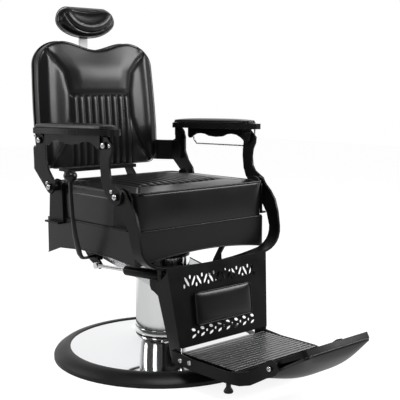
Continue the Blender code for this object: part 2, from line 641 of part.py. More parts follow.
def build_headrest():
    rear = BACK_Y + 0.0724
    front_at = [(rear + BACK_SLOPE * (z - BACK_LOW), z) for z in (0.860, 0.990)]
    block = front_at + [(0.446, 0.990), (0.446, 0.860)]
    socket = prism("stem_socket", [block], -0.026, 0.026, SIDE, "black_steel")
    combine(socket, box("slot", (-0.0172, 0.0172), (0.4303, 0.4377), (0.85, 1.0)), "DIFFERENCE")
    stem = box("headrest_stem", (-0.0168, 0.0168), (0.4307, 0.4373), (0.870, TILT_PIVOT[1]), "chrome")
    fuse(stem, cylinder("barrel", TILT_PIVOT, 0.0092, -0.0168, 0.0168, "chrome"))
    drill(stem, TILT_PIVOT, (-0.0168, 0.0168), 0.0046)
    plate = box("headrest_plate", (-0.085, 0.085), (0.4245, 0.4288), (1.062, 1.128))
    y, z = TILT_PIVOT
    ear = [(0.4270, z - 0.016), (y + 0.006, z - 0.011), (y + 0.011, z), (y + 0.006, z + 0.011)]
    ear.append((0.4270, z + 0.016))
    for side in (-1, 1):
        fuse(plate, prism("ear", [ear], *span(side, (0.0173, 0.0233)), SIDE, "black_steel"))
    fuse(plate, cylinder("pin", TILT_PIVOT, 0.0042, -0.0200, 0.0200))
    levels = [(0.388, 0.017), (0.393, 0.008), (0.402, 0.002), (0.4242, 0)]
    pad("headrest_pad", headrest_outline(), levels, FRONT)


# ---------------------------------------------------------------- legrest and footrest


def panel_frame():
    """Origin at the middle of the panel's top edge: x, down the panel, and away behind it."""
    top, low = Vector((0, *PANEL_TOP)), Vector((0, *PANEL_LOW))
    down = (low - top).normalized()
    return top, Vector((1, 0, 0)), down, Vector((0, -down.z, down.y))


def lozenge(a, b, long, wide, turn):
    """A leaf-shaped opening at (a, b), long by wide, turned by an angle."""
    c, s = math.cos(turn), math.sin(turn)
    half = [(long, 0), (0.45 * long, wide), (-0.45 * long, wide)]
    leaf = half + [(-p, -q) for p, q in half]
    return [(a + p * c - q * s, b + p * s + q * c) for p, q in leaf]


def pierced_bands(length):
    """Openings above and below the padded middle: crossed leaves with small lozenges between them."""
    holes = []
    high, low = 0.196 * length, 0.846 * length
    for k in range(6):
        a = (k - 2.5) * 0.048
        holes.append(lozenge(a - 0.0130, high, 0.0200, 0.0046, 1.05))
        holes.append(lozenge(a + 0.0130, high, 0.0200, 0.0046, -1.05))
        holes.append(lozenge(a, high - 0.0125, 0.0078, 0.0046, math.pi / 2))
    for k in range(7):
        holes.append(lozenge((k - 3) * 0.048, high + 0.0125, 0.0078, 0.0046, math.pi / 2))
    for k in range(8):
        a = (k - 3.5) * 0.035
        holes.append(lozenge(a, low - 0.0095, 0.0105, 0.0042, 0.35))
        holes.append(lozenge(a, low + 0.0095, 0.0105, 0.0042, -0.35))
    for k in range(7):
        holes.append(lozenge((k - 3) * 0.035, low, 0.0052, 0.0044, 0.785))
    return holes


def build_legrest():
    frame = panel_frame()
    top, low = Vector((0, *PANEL_TOP)), Vector((0, *PANEL_LOW))
    length = (low - top).length
    sheet = [(-PANEL_TOP_HALF, 0), (PANEL_TOP_HALF, 0), (PANEL_LOW_HALF, length), (-PANEL_LOW_HALF, length)]
    panel = prism("calf_panel", [sheet], 0, PANEL_THICK, frame, "black_steel")
    for hole in pierced_bands(length):
        combine(panel, prism("opening", [hole], -0.002, PANEL_THICK + 0.002, frame, "steel"), "DIFFERENCE")
    flange = [(-0.2645, 0.338), (-0.236, 0.312), (-0.208, 0.296), (-0.252, 0.080), (-0.258, 0.074)]
    flange += [(-0.296, 0.074), (-0.297, 0.117), (-0.2675, 0.330)]
    drop = PANEL_TOP[1] - PANEL_LOW[1]
    rate = (PANEL_TOP_HALF - PANEL_LOW_HALF) / drop
    for side in (-1, 1):
        x = span(side, (PANEL_TOP_HALF - 0.0034, PANEL_TOP_HALF - 0.0006))
        part = prism("flange", [flange], *x, SIDE, "black_steel")
        fuse(panel, shear(part, 0, 2, side * rate, PANEL_TOP[1]))
    centre = rounded(0.116, 0.349 * length, 0.760 * length, 0.010, 3)
    levels = [(-GAP, 0), (-0.008, 0.001), (-0.0115, 0.004), (-0.013, 0.010)]
    pad("calf_pad", centre, levels, frame)


def build_gusset(side, mark):
    """Goes from the panel's back round the hoop's bar to the pivot under the seat."""
    plate = [(-0.195, 0.391), (-0.1905, 0.4005), (-0.180, 0.4048), (-0.1695, 0.4005), (-0.160, 0.388)]
    plate += [(-0.130, 0.350), (-0.105, 0.310), (-0.098, 0.282), (-0.099, 0.262), (-0.106, 0.250)]
    plate += [(-0.120, 0.246), (-0.180, 0.215), (-0.2844, 0.186), (-0.2730, 0.274), (-0.210, 0.280)]
    plate += [(-0.156, 0.282), (-0.141, 0.294), (-0.1385, 0.334), (-0.1560, 0.360)]
    plate += [(-0.172, 0.374), (-0.190, 0.378)]
    gusset = prism("calf_gusset_" + mark, [plate], *span(side, ARM_PLATE_X), SIDE, "black_steel")
    pin = span(side, (ARM_PLATE_X[0] + 0.002, ARM_PLATE_X[1] + 0.0063))
    fuse(gusset, cylinder("pin", CALF_PIVOT, PIN_R, *pin))


def build_link(side, mark):
    """The bar from the back's lower arm to the gusset. Its front end lies beside the gusset."""
    (ya, za), (yb, zb) = LINK_REAR, LINK_FRONT
    slope = math.atan2(za - zb, ya - yb)
    outline = []
    for (y, z), start in (((ya, za), -math.pi / 2), ((yb, zb), math.pi / 2)):
        for k in range(9):
            angle = slope + start + math.pi * k / 8
            outline.append((y + 0.012 * math.cos(angle), z + 0.012 * math.sin(angle)))
    link = prism("link_bar_" + mark, [outline], *span(side, LINK_X), SIDE, "steel")
    fuse(link, cylinder("pin", LINK_REAR, PIN_R, *span(side, (LINK_X[0] + 0.002, ARM_PLATE_X[1] + 0.001))))


def build_footrest():
    rims = [((-0.264, 0.106), (-0.266, 0.070), 0), ((-0.357, 0.098), (-0.357, 0.065), 0)]
    rims += [((-0.495, 0.0985), (-0.500, 0.0655), 0), ((-0.525, 0.100), (-0.535, 0.065), 0.3)]
    rims += [((-0.552, 0.107), (-0.560, 0.070), 0.7), ((-0.575, 0.120), (-0.583, 0.084), 0.95)]
    rims += [((-0.595, 0.137), (-0.607, 0.0985), 1), ((-0.610, 0.149), (-0.630, 0.1085), 1)]
    rims += [((-0.626, 0.155), (-0.644, 0.117), 1), ((-0.642, 0.150), (-0.650, 0.128), 1)]
    rims.append(((-0.649, 0.142), (-0.6505, 0.136), 1))
    for side, mark in ((-1, "R"), (1, "L")):
        rings = []
        for (yu, zu), (yl, zl), share in rims:
            near, far = (side * (x - share * FOOT_ARM_JOG) for x in FOOT_ARM_X)
            rings.append([(near, yu, zu), (far, yu, zu), (far, yl, zl), (near, yl, zl)])
        drill(loft("foot_arm_" + mark, rings, "black_steel"), FLIP_PIVOT, span(side, FLIP_ARM_X))
        foot = [(0, 0.0400), (0.0125, 0.0400), (0.0140, 0.0440), (0.0110, 0.0500)]
        foot += [(0.0070, 0.0560), (0.0070, 0.0652), (0, 0.0652)]
        lathe("foot_bumper_" + mark, foot, "rubber", 20, (side * 0.1820, -0.500, 0))
    pitch = (0.518 - 0.292) / 15
    ribs = [(-0.292, 0.0905)]
    for k in range(15):
        start = -0.292 - k * pitch
        ribs += [(start, 0.1015), (start - 0.60 * pitch, 0.1015), (start - 0.68 * pitch, 0.0970)]
        if k < 14:
            ribs.append((start - 0.92 * pitch, 0.0970))
    ribs += [(-0.518, 0.0970), (-0.518, 0.0905)]
    tread = prism("foot_tread", [ribs], -0.169, 0.169, SIDE, "tread")
    between = (GAP - FOOT_ARM_X[0], FOOT_ARM_X[0] - GAP)
    fuse(tread, box("under", between, (-0.490, -0.305), (0.0840, 0.0925), "tread"))


def build_flip():
    """A padded board on two trunnions between the footrest arms. At rest the padded face is below."""
    c, s = math.cos(FLIP_RISE), math.sin(FLIP_RISE)
    frame = (Vector((0, *FLIP_PIVOT)), Vector((1, 0, 0)), Vector((0, -c, s)), Vector((0, -s, -c)))
    outline = rounded(0.137, -0.055, 0.127, 0.012, 3)
    board = prism("flip_board", [outline], -0.0085, 0.008, frame, "black_steel")
    for side in (-1, 1):
        collar = span(side, (0.130, FLIP_ARM_X[0] - GAP))
        fuse(board, cylinder("collar", FLIP_PIVOT, 0.0075, *collar, "black_steel"))
        fuse(board, cylinder("pin", FLIP_PIVOT, PIN_R, *span(side, (0.135, FLIP_ARM_X[1] + 0.003))))
    levels = [(0.0083, 0), (0.018, 0.001), (0.028, 0.008), (0.038, 0.021), (0.048, 0.040), (0.054, 0.062)]
    pad("flip_pad", outline, levels, frame)


def main():
    clear_scene()
    build_base()
    build_pedal()
    build_lift()
    build_seat_frame()
    build_seat_cushion()
    build_skirt()
    build_hoop()
    build_lever()
    build_strut()
    build_back()
    build_back_frame()
    for side, mark in ((-1, "R"), (1, "L")):
        build_side_brackets(side, mark)
        build_posts(side, mark)
        build_armrest(side, mark)
        build_gusset(side, mark)
        build_link(side, mark)
    build_towel_bar()
    build_headrest()
    build_legrest()
    build_footrest()
    build_flip()


main()
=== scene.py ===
"""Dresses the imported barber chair: upholstery, bolts, mouldings, finishes, floor, lamps and camera.

Every surface is worked out in numpy from a few sizes. The frame's solids stay where they are.
"""

import json
import math

import bmesh
import bpy
import numpy as np
from mathutils import Matrix, Vector
from mathutils.kdtree import KDTree

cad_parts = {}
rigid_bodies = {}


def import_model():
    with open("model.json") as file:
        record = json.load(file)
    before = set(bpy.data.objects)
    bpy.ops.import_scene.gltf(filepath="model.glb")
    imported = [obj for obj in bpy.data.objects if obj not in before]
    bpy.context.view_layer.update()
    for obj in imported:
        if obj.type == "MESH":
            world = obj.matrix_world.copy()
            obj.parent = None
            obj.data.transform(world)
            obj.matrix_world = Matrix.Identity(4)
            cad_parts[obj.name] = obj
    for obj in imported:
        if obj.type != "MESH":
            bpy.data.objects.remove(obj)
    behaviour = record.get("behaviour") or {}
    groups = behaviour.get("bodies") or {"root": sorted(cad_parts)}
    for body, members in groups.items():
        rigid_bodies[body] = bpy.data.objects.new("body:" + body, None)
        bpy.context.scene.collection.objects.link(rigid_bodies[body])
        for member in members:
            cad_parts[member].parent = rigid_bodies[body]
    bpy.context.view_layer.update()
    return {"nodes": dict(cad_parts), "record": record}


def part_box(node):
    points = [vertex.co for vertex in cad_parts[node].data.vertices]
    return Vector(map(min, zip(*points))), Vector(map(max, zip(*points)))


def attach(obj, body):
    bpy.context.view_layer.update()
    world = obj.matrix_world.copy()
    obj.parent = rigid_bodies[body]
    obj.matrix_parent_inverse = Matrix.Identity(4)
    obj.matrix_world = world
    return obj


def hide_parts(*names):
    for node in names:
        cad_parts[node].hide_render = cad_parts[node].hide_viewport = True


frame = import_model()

bl_info = {
    "name": "Barber chair dressing",
    "version": (1, 0, 0),
    "blender": (4, 5, 0),
    "location": "3D View > Sidebar > Barber Chair",
    "description": "Upholsters and finishes the hydraulic barber chair",
    "category": "Add Mesh",
}

NODES = frame["nodes"]
CLOTH_FRAMES = 18  # steps of the cloth solver before the cover's shape is taken
FILL_LIGHT = 0.35  # what the room gives to all but the camera and reflections
SEAT_PANEL = 0.170  # half-width of the seat's channelled middle
SEAT_LANE = 0.0285  # width of one of its channels
SEAT_LANES = 11
BACK_PANEL = 0.125  # half-width of the back's channelled middle
BACK_CROSS_SEAM = 0.8455  # height of the seam above it
BACK_MIDDLE = 0.811  # middle height of the back
HEADREST_MIDDLE = 1.097  # height at which the headrest is widest
WALL = 0.0030  # thickness of the valance
ROOM_AXIS = (0.66, 0.75, 0.0)  # level, from the camera's side of the room to the far side


def box(node):
    """Lowest and highest corner of a frame node, as numpy arrays."""
    low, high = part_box(node)
    return np.array(low), np.array(high)


# ---------------------------------------------------------------- mesh from arrays


def make_mesh(name, points, faces):
    """An object from an N x 3 array of points and an F x 3 or F x 4 array of faces."""
    points = np.asarray(points, np.float32)
    faces = np.asarray(faces, np.int32)
    mesh = bpy.data.meshes.new(name)
    count, size = faces.shape
    mesh.vertices.add(len(points))
    mesh.vertices.foreach_set("co", points.ravel())
    mesh.loops.add(count * size)
    mesh.loops.foreach_set("vertex_index", faces.ravel())
    mesh.polygons.add(count)
    mesh.polygons.foreach_set("loop_start", np.arange(0, count * size, size, dtype=np.int32))
    mesh.update(calc_edges=True)
    mesh.validate()
    mesh.shade_smooth()
    obj = bpy.data.objects.new(name, mesh)
    bpy.context.scene.collection.objects.link(obj)
    return obj


def grid_faces(rows, columns, wrap=False):
    """Quads of a rows x columns grid of points. With wrap the last column joins the first."""
    i, j = np.meshgrid(np.arange(rows - 1), np.arange(columns if wrap else columns - 1), indexing="ij")
    k = (j + 1) % columns
    quads = np.stack([i * columns + j, i * columns + k, (i + 1) * columns + k, (i + 1) * columns + j], -1)
    return quads.reshape(-1, 4)


def spin(name, profile, centre, axis, steps=48, sharp=40):
    """A (radius, height) profile turned about an axis: point = centre + r cos t u + r sin t v + h w."""
    profile = np.asarray(profile, float)
    w = np.asarray(axis, float) / np.linalg.norm(axis)
    u = np.cross(w, [0.0, 0.0, 1.0] if abs(w[2]) < 0.9 else [1.0, 0.0, 0.0])
    u /= np.linalg.norm(u)
    v = np.cross(w, u)
    turn = np.linspace(0, 2 * np.pi, steps, endpoint=False)
    ring = np.cos(turn)[:, None] * u + np.sin(turn)[:, None] * v
    radius, height = profile[:, 0], profile[:, 1]
    points = np.asarray(centre) + radius[:, None, None] * ring + height[:, None, None] * w
    faces = grid_faces(len(profile), steps, wrap=True)
    return merged(make_mesh(name, points.reshape(-1, 3), faces), sharp)


def merged(obj, sharp=None):
    """Joins points that coincide, as at a pole, and turns every face outwards."""
    work = bmesh.new()
    work.from_mesh(obj.data)
    bmesh.ops.remove_doubles(work, verts=work.verts, dist=2e-6)
    bmesh.ops.holes_fill(work, edges=[e for e in work.edges if e.is_boundary], sides=0)
    bmesh.ops.recalc_face_normals(work, faces=work.faces)
    work.to_mesh(obj.data)
    work.free()
    obj.data.shade_smooth()
    if sharp:
        obj.data.set_sharp_from_angle(angle=math.radians(sharp))
    return obj


def smooth_path(path, count, closed=False):
    """Catmull-Rom curve through the points, taken at evenly spaced lengths.

    Between b and c it is (2 b + (c - a) t + (2 a - 5 b + 4 c - d) t^2 + (3 b - a - 3 c + d) t^3) / 2.
    """
    path = np.asarray(path, float)
    n = len(path)
    if closed:
        index = np.arange(n)[:, None] + np.arange(-1, 3)
        p = path[index % n]
    else:
        index = np.clip(np.arange(n - 1)[:, None] + np.arange(-1, 3), 0, n - 1)
        p = path[index]
    t = np.linspace(0, 1, 12, endpoint=False)[None, :, None]
    a, b, c, d = (p[:, k, None, :] for k in range(4))
    square, cube = (2 * a - 5 * b + 4 * c - d) * t**2, (3 * b - a - 3 * c + d) * t**3
    curve = 0.5 * (2 * b + (c - a) * t + square + cube)
    curve = curve.reshape(-1, 3)
    curve = np.vstack([curve, curve[:1] if closed else path[-1:]])
    run = np.concatenate([[0], np.cumsum(np.linalg.norm(np.diff(curve, axis=0), axis=1))])
    at = np.linspace(0, run[-1], count, endpoint=not closed)
    return np.stack([np.interp(at, run, curve[:, k]) for k in range(3)], -1)


def sweep(name, path, radius, closed=False, up=(0, 0, 1)):
    """A round bead along a path: point = path + r cos t side + r sin t rise."""
    steps = 10
    path = np.asarray(path, float)
    if closed:
        along = np.roll(path, -1, 0) - np.roll(path, 1, 0)
    else:
        along = np.gradient(path, axis=0)
    along /= np.linalg.norm(along, axis=1)[:, None] + 1e-12
    up = np.broadcast_to(np.asarray(up, float), path.shape)
    side = np.cross(along, up)
    side /= np.linalg.norm(side, axis=1)[:, None] + 1e-12
    rise = np.cross(side, along)
    radius = np.broadcast_to(np.asarray(radius, float), (len(path),))
    turn = np.linspace(0, 2 * np.pi, steps, endpoint=False)
    across, upright = np.cos(turn)[None, :, None], np.sin(turn)[None, :, None]
    ring = across * side[:, None] + upright * rise[:, None]
    points = path[:, None] + radius[:, None, None] * ring
    rows = len(path)
    if closed:
        points = np.concatenate([points, points[:1]])
        rows += 1
    return merged(make_mesh(name, points.reshape(-1, 3), grid_faces(rows, steps, wrap=True)))


def block_lattice(nx, ny, nz):
    """The surface of a box as quads: an integer grid on six sides with shared edges, faces turned outwards.

    Each point is given as its share of the box's width, depth and height, 0 to 1.
    """
    size = (nx, ny, nz)
    quads = []
    for axis in range(3):
        first, second = (axis + 1) % 3, (axis + 2) % 3
        i, j = np.meshgrid(np.arange(size[first]), np.arange(size[second]), indexing="ij")
        i, j = i.ravel(), j.ravel()
        for level in (0, size[axis]):
            corners = np.zeros((len(i), 4, 3), int)
            for k, (di, dj) in enumerate(((0, 0), (1, 0), (1, 1), (0, 1))):
                corners[:, k, first] = i + di
                corners[:, k, second] = j + dj
                corners[:, k, axis] = level
            quads.append(corners if level else corners[:, ::-1])
    corners = np.concatenate(quads)
    points, index = np.unique(corners.reshape(-1, 3), axis=0, return_inverse=True)
    share = points / np.array(size, float)
    return share, index.reshape(-1, 4)


def normals_of(points, faces):
    """Vertex normals: the sum of the faces' cross products at each point."""
    p = points[faces]
    cross = np.cross(p[:, 2] - p[:, 0], p[:, 3 if faces.shape[1] == 4 else 1] - p[:, 1])
    total = np.zeros_like(points)
    for k in range(faces.shape[1]):
        np.add.at(total, faces[:, k], cross)
    return total / (np.linalg.norm(total, axis=1)[:, None] + 1e-12)


def round_corners(a, b, half_a, half_b, radius_a, radius_b):
    """Pulls a rectangle's corners in to quarter ellipses: within a corner square the distance from its inner
    corner becomes the larger of the two offsets."""
    da = np.clip(np.abs(a) - (half_a - radius_a), 0, None) / radius_a
    db = np.clip(np.abs(b) - (half_b - radius_b), 0, None) / radius_b
    reach = np.maximum(da, db)
    length = np.hypot(da, db) + 1e-12
    pull = np.where((da > 0) & (db > 0), reach / length, 1.0)
    new_a = np.sign(a) * (np.minimum(np.abs(a), half_a - radius_a) + da * pull * radius_a)
    new_b = np.sign(b) * (np.minimum(np.abs(b), half_b - radius_b) + db * pull * radius_b)
    return new_a, new_b


def rounded(u, v, half_a, half_b, radius):
    """Points (a, b) of a rounded rectangle at the shares (u, v) of its width and height."""
    return round_corners((u * 2 - 1) * half_a, (v * 2 - 1) * half_b, half_a, half_b, radius, radius)


def in_plane(origin, along, a, b):
    """Points of a tilted plane: origin + a x + b along."""
    return origin + a[:, None] * np.array([1.0, 0, 0]) + b[:, None] * along


def bump(distance, width):
    """A smooth ridge of height 1 at distance 0: exp(-(d / width)^2)."""
    return np.exp(-((distance / width) ** 2))


def step(x, low, high):
    """Smooth step from 0 at low to 1 at high."""
    t = np.clip((x - low) / (high - low), 0, 1)
    return t * t * (3 - 2 * t)


def channel(x, lane):
    """Height across sewn channels a lane wide: sqrt(1.02 - (2 p)^2) - 0.62, with p from -0.5 to 0.5."""
    phase = (x / lane + 0.5) % 1.0 - 0.5
    return np.sqrt(np.clip(1.02 - (2 * phase) ** 2, 0, 1)) - 0.62


# ---------------------------------------------------------------- stuffing


def stuffed(name, points, faces, cap, pressure=4.0, held=None):
    """Blows the cover up like foam under leather with Blender's cloth, and limits each point's travel to cap.

    Where held is 1 a point stays. The travel d becomes cap * tanh(|d| / cap) along d.
    """
    held = np.zeros(len(points)) if held is None else held
    cap = np.broadcast_to(np.asarray(cap, float), (len(points),))
    obj = make_mesh(name + "_stuffing", points, faces)
    group = obj.vertex_groups.new(name="held")
    for weight in np.unique(np.round(held, 1)):
        if weight > 0:
            group.add(np.nonzero(np.round(held, 1) == weight)[0].tolist(), float(weight), "REPLACE")
    cloth = obj.modifiers.new("stuffing", "CLOTH")
    settings = cloth.settings
    settings.quality = 5
    settings.mass = 0.3
    settings.tension_stiffness = 12
    settings.compression_stiffness = 12
    settings.shear_stiffness = 6
    settings.bending_stiffness = 0.6
    settings.use_pressure = True
    settings.uniform_pressure_force = pressure
    settings.effector_weights.gravity = 0
    settings.vertex_group_mass = "held"
    settings.pin_stiffness = 2
    cloth.collision_settings.use_collision = False
    scene = bpy.context.scene
    cloth.point_cache.frame_start = 1
    cloth.point_cache.frame_end = CLOTH_FRAMES + 2
    for number in range(1, CLOTH_FRAMES + 1):
        scene.frame_set(number)
    graph = bpy.context.evaluated_depsgraph_get()
    result = obj.evaluated_get(graph).to_mesh()
    out = np.zeros(len(points) * 3, np.float32)
    result.vertices.foreach_get("co", out)
    bpy.data.objects.remove(obj)
    scene.frame_set(1)
    moved = out.reshape(-1, 3).astype(float) - points
    length = np.linalg.norm(moved, axis=1)
    limit = np.maximum(cap, 1e-6)
    share = limit * np.tanh(length / limit) / (length + 1e-12)
    return points + moved * share[:, None]


def refined(points, faces, rest, levels=1):
    """Subdivides by Catmull-Clark and carries each point's rest place along."""
    obj = make_mesh("refining", points, faces)
    layer = obj.data.attributes.new("rest", "FLOAT_VECTOR", "POINT")
    layer.data.foreach_set("vector", np.asarray(rest, np.float32).ravel())
    finer = obj.modifiers.new("finer", "SUBSURF")
    finer.levels = finer.render_levels = levels
    graph = bpy.context.evaluated_depsgraph_get()
    mesh = obj.evaluated_get(graph).to_mesh()
    count = len(mesh.vertices)
    new_points = np.zeros(count * 3, np.float32)
    mesh.vertices.foreach_get("co", new_points)
    new_rest = np.zeros(count * 3, np.float32)
    mesh.attributes["rest"].data.foreach_get("vector", new_rest)
    new_faces = np.zeros(len(mesh.polygons) * 4, np.int32)
    mesh.polygons.foreach_get("vertices", new_faces)
    bpy.data.objects.remove(obj)
    shape = new_points.reshape(-1, 3).astype(float)
    return shape, new_faces.reshape(-1, 4), new_rest.reshape(-1, 3).astype(float)


def nearest_lift(points, normals, rest, wanted, lift=0.0):
    """For each wanted rest place, the finished surface's point there, raised along its normal."""
    tree = KDTree(len(rest))
    for index, place in enumerate(rest):
        tree.insert(place, index)
    tree.balance()
    found = np.array([tree.find(place)[1] for place in wanted])
    return points[found] + normals[found] * lift, normals[found]


# ---------------------------------------------------------------- finishes


def shader_tree(name):
    """A new material with its Principled shader and a Coordinates node."""
    material = bpy.data.materials.new(name)
    material.use_nodes = True
    tree = material.node_tree
    shader = tree.nodes["Principled BSDF"]
    place = tree.nodes.new("ShaderNodeTexCoord")
    return material, tree, shader, place


def noise(tree, place, scale, detail=3.0, roughness=0.5, stretch=None):
    """A noise texture's value at the piece's own coordinates, scaled along x, y and z by stretch if given."""
    node = tree.nodes.new("ShaderNodeTexNoise")
    node.inputs["Scale"].default_value = scale
    node.inputs["Detail"].default_value = detail
    node.inputs["Roughness"].default_value = roughness
    source = place.outputs["Object"]
    if stretch:
        turn = tree.nodes.new("ShaderNodeMapping")
        turn.inputs["Scale"].default_value = stretch
        tree.links.new(source, turn.inputs["Vector"])
        source = turn.outputs["Vector"]
    tree.links.new(source, node.inputs["Vector"])
    return node.outputs["Fac"]


def map_range(tree, value, span, result=(0.0, 1.0), smooth=False):
    """Maps a value's span to a result, straight or as a smooth step, and level outside it."""
    node = tree.nodes.new("ShaderNodeMapRange")
    node.interpolation_type = "SMOOTHSTEP" if smooth else "LINEAR"
    for name, number in zip(("From Min", "From Max", "To Min", "To Max"), (*span, *result)):
        node.inputs[name].default_value = number
    tree.links.new(value, node.inputs["Value"])
    return node.outputs["Result"]


def arithmetic(tree, kind, *values):
    """A maths node's result. Each value is a number or another node's output."""
    node = tree.nodes.new("ShaderNodeMath")
    node.operation = kind
    for socket, value in zip(node.inputs, values):
        if isinstance(value, float):
            socket.default_value = value
        else:
            tree.links.new(value, socket)
    return node.outputs[0]


def ramp(tree, source, low, high, start=0.3, end=0.7):
    """Maps a value between start and end to two colours, or to two greys given as tuples of one number."""
    node = tree.nodes.new("ShaderNodeValToRGB")
    for element, position, colour in zip(node.color_ramp.elements, (start, end), (low, high)):
        element.position = position
        element.color = (*(colour if len(colour) == 3 else colour * 3), 1)
    tree.links.new(source, node.inputs["Fac"])
    return node.outputs["Color"]


def add_bump(tree, shader, layers):
    """Chains bump nodes: each layer is (height, strength, distance)."""
    previous = None
    for height, strength, distance in layers:
        node = tree.nodes.new("ShaderNodeBump")
        node.inputs["Strength"].default_value = strength
        node.inputs["Distance"].default_value = distance
        tree.links.new(height, node.inputs["Height"])
        if previous:
            tree.links.new(previous, node.inputs["Normal"])
        previous = node.outputs["Normal"]
    tree.links.new(previous, shader.inputs["Normal"])


def leather_finish(name, colour, gloss, crease=0.20):
    """Upholstery leather: fine pebble grain, faint creases, uneven polish and a thin clear coat."""
    material, tree, shader, place = shader_tree(name)
    pebble = tree.nodes.new("ShaderNodeTexVoronoi")
    pebble.feature = "F1"
    pebble.inputs["Scale"].default_value = 620
    tree.links.new(place.outputs["Object"], pebble.inputs["Vector"])
    wrinkle = noise(tree, place, 75, 4, 0.55)
    polish = noise(tree, place, 7, 2, 0.5)
    cloud = noise(tree, place, 5, 3, 0.5)
    lighter = tuple(min(1, c * 1.5 + 0.001) for c in colour)
    tree.links.new(ramp(tree, cloud, colour, lighter), shader.inputs["Base Color"])
    tree.links.new(ramp(tree, polish, (gloss - 0.03,), (gloss + 0.05,)), shader.inputs["Roughness"])
    shader.inputs["Specular IOR Level"].default_value = 0.34
    shader.inputs["Coat Weight"].default_value = 0.16
    shader.inputs["Coat Roughness"].default_value = 0.22
    add_bump(tree, shader, ((wrinkle, crease, 0.0005), (pebble.outputs["Distance"], 0.08, 0.0004)))
    return material


def powder_coat(name, colour, gloss):
    """Powder-coated steel: a fine orange-peel and slightly uneven sheen."""
    material, tree, shader, place = shader_tree(name)
    peel = noise(tree, place, 900, 2, 0.5)
    wear = noise(tree, place, 14, 4, 0.6)
    lighter = tuple(c * 1.4 + 0.0006 for c in colour)
    tree.links.new(ramp(tree, wear, colour, lighter), shader.inputs["Base Color"])
    tree.links.new(ramp(tree, wear, (gloss - 0.05,), (gloss + 0.08,)), shader.inputs["Roughness"])
    shader.inputs["Specular IOR Level"].default_value = 0.20
    add_bump(tree, shader, ((peel, 0.16, 0.0004),))
    return material


def plated(name, colour, gloss, spread):
    """Plated metal with faint polishing marks."""
    material, tree, shader, place = shader_tree(name)
    marks = noise(tree, place, 160, 3, 0.6)
    shader.inputs["Base Color"].default_value = (*colour, 1)
    shader.inputs["Metallic"].default_value = 1.0
    polish = ramp(tree, marks, (max(0.01, gloss - spread),), (gloss + spread,))
    tree.links.new(polish, shader.inputs["Roughness"])
    add_bump(tree, shader, ((marks, 0.02, 0.0003),))
    return material


def moulded(name, colour, gloss):
    """Rubber or plastic with a faint moulded texture."""
    material, tree, shader, place = shader_tree(name)
    skin = noise(tree, place, 420, 3, 0.6)
    dust = noise(tree, place, 7, 4, 0.6)
    lighter = tuple(c * 1.5 + 0.001 for c in colour)
    tree.links.new(ramp(tree, dust, colour, lighter), shader.inputs["Base Color"])
    tree.links.new(ramp(tree, dust, (gloss - 0.06,), (gloss + 0.08,)), shader.inputs["Roughness"])
    shader.inputs["Specular IOR Level"].default_value = 0.28
    add_bump(tree, shader, ((skin, 0.12, 0.0005),))
    return material


def plywood_finish():
    """Birch plywood: a noise stretched into a long grain, between a light and a darker brown."""
    material, tree, shader, place = shader_tree("birch_plywood")
    grain = noise(tree, place, 30, 5, 0.6, (1, 12, 60))
    tree.links.new(ramp(tree, grain, (0.42, 0.29, 0.16), (0.62, 0.46, 0.29)), shader.inputs["Base Color"])
    shader.inputs["Roughness"].default_value = 0.6
    add_bump(tree, shader, ((grain, 0.1, 0.0004),))
    return material


def tread_finish():
    """Ribbed metal: darker in the grooves and lighter on the ribs' tops, by height."""
    groove, top = 0.0965, 0.1018
    material, tree, shader, place = shader_tree("ribbed_tread_metal")
    parts = tree.nodes.new("ShaderNodeSeparateXYZ")
    tree.links.new(place.outputs["Object"], parts.inputs["Vector"])
    height = map_range(tree, parts.outputs["Z"], (groove, top))
    # base colour by height: near black in the grooves, lighter on the ribs' tops
    tree.links.new(ramp(tree, height, (0.006,), (0.17,), 0.35, 0.95), shader.inputs["Base Color"])
    shader.inputs["Metallic"].default_value = 1.0
    marks = noise(tree, place, 300, 3, 0.6, (0.05, 1, 1))
    tree.links.new(ramp(tree, marks, (0.24,), (0.36,)), shader.inputs["Roughness"])
    add_bump(tree, shader, ((marks, 0.03, 0.0003),))
    return material


def make_finishes(look):
    """Every finish by its short name, from the colours and gloss of the settings."""
    hide = tuple(look.leather_colour)
    paint = tuple(look.paint_colour)
    return {
        "leather": leather_finish("black_leather", hide, look.leather_gloss),
        "leather_plain": leather_finish("valance_vinyl", hide, look.leather_gloss + 0.08, 0.12),
        "black_steel": powder_coat("satin_black_powder_coat", paint, 0.36),
        "chrome": plated("polished_chrome", (0.86, 0.865, 0.875), 0.055, 0.02),
        "column": plated("column_chrome", (0.86, 0.865, 0.87), 0.11, 0.03),
        "steel": plated("zinc_plate", (0.72, 0.73, 0.75), 0.26, 0.06),
        "stem_grey": powder_coat("stem_grey", (0.70, 0.70, 0.705), 0.34),
        "tread": tread_finish(),
        "rubber": moulded("base_rubber", (0.006, 0.006, 0.0063), 0.42),
        "plastic": moulded("moulded_black", (0.006, 0.006, 0.0065), 0.28),
        "plywood": plywood_finish(),
    }


def put_on(obj, finish):
    """Gives the piece one finish on every face."""
    obj.data.materials.clear()
    obj.data.materials.append(FINISHES[finish])
    return obj


def fix(obj, finish, body, replaces=()):
    """Finishes a piece and fastens it to a body of the frame."""
    put_on(obj, finish)
    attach(obj, body)
    if replaces:
        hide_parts(*replaces)
    return obj


FINISHES = {}
BODY_OF = {node: body for body, group in frame["record"]["behaviour"]["bodies"].items() for node in group}
SLOT_OF = {part["node"]: part["material_slot"] for part in frame["record"]["subparts"]}


# ---------------------------------------------------------------- settings


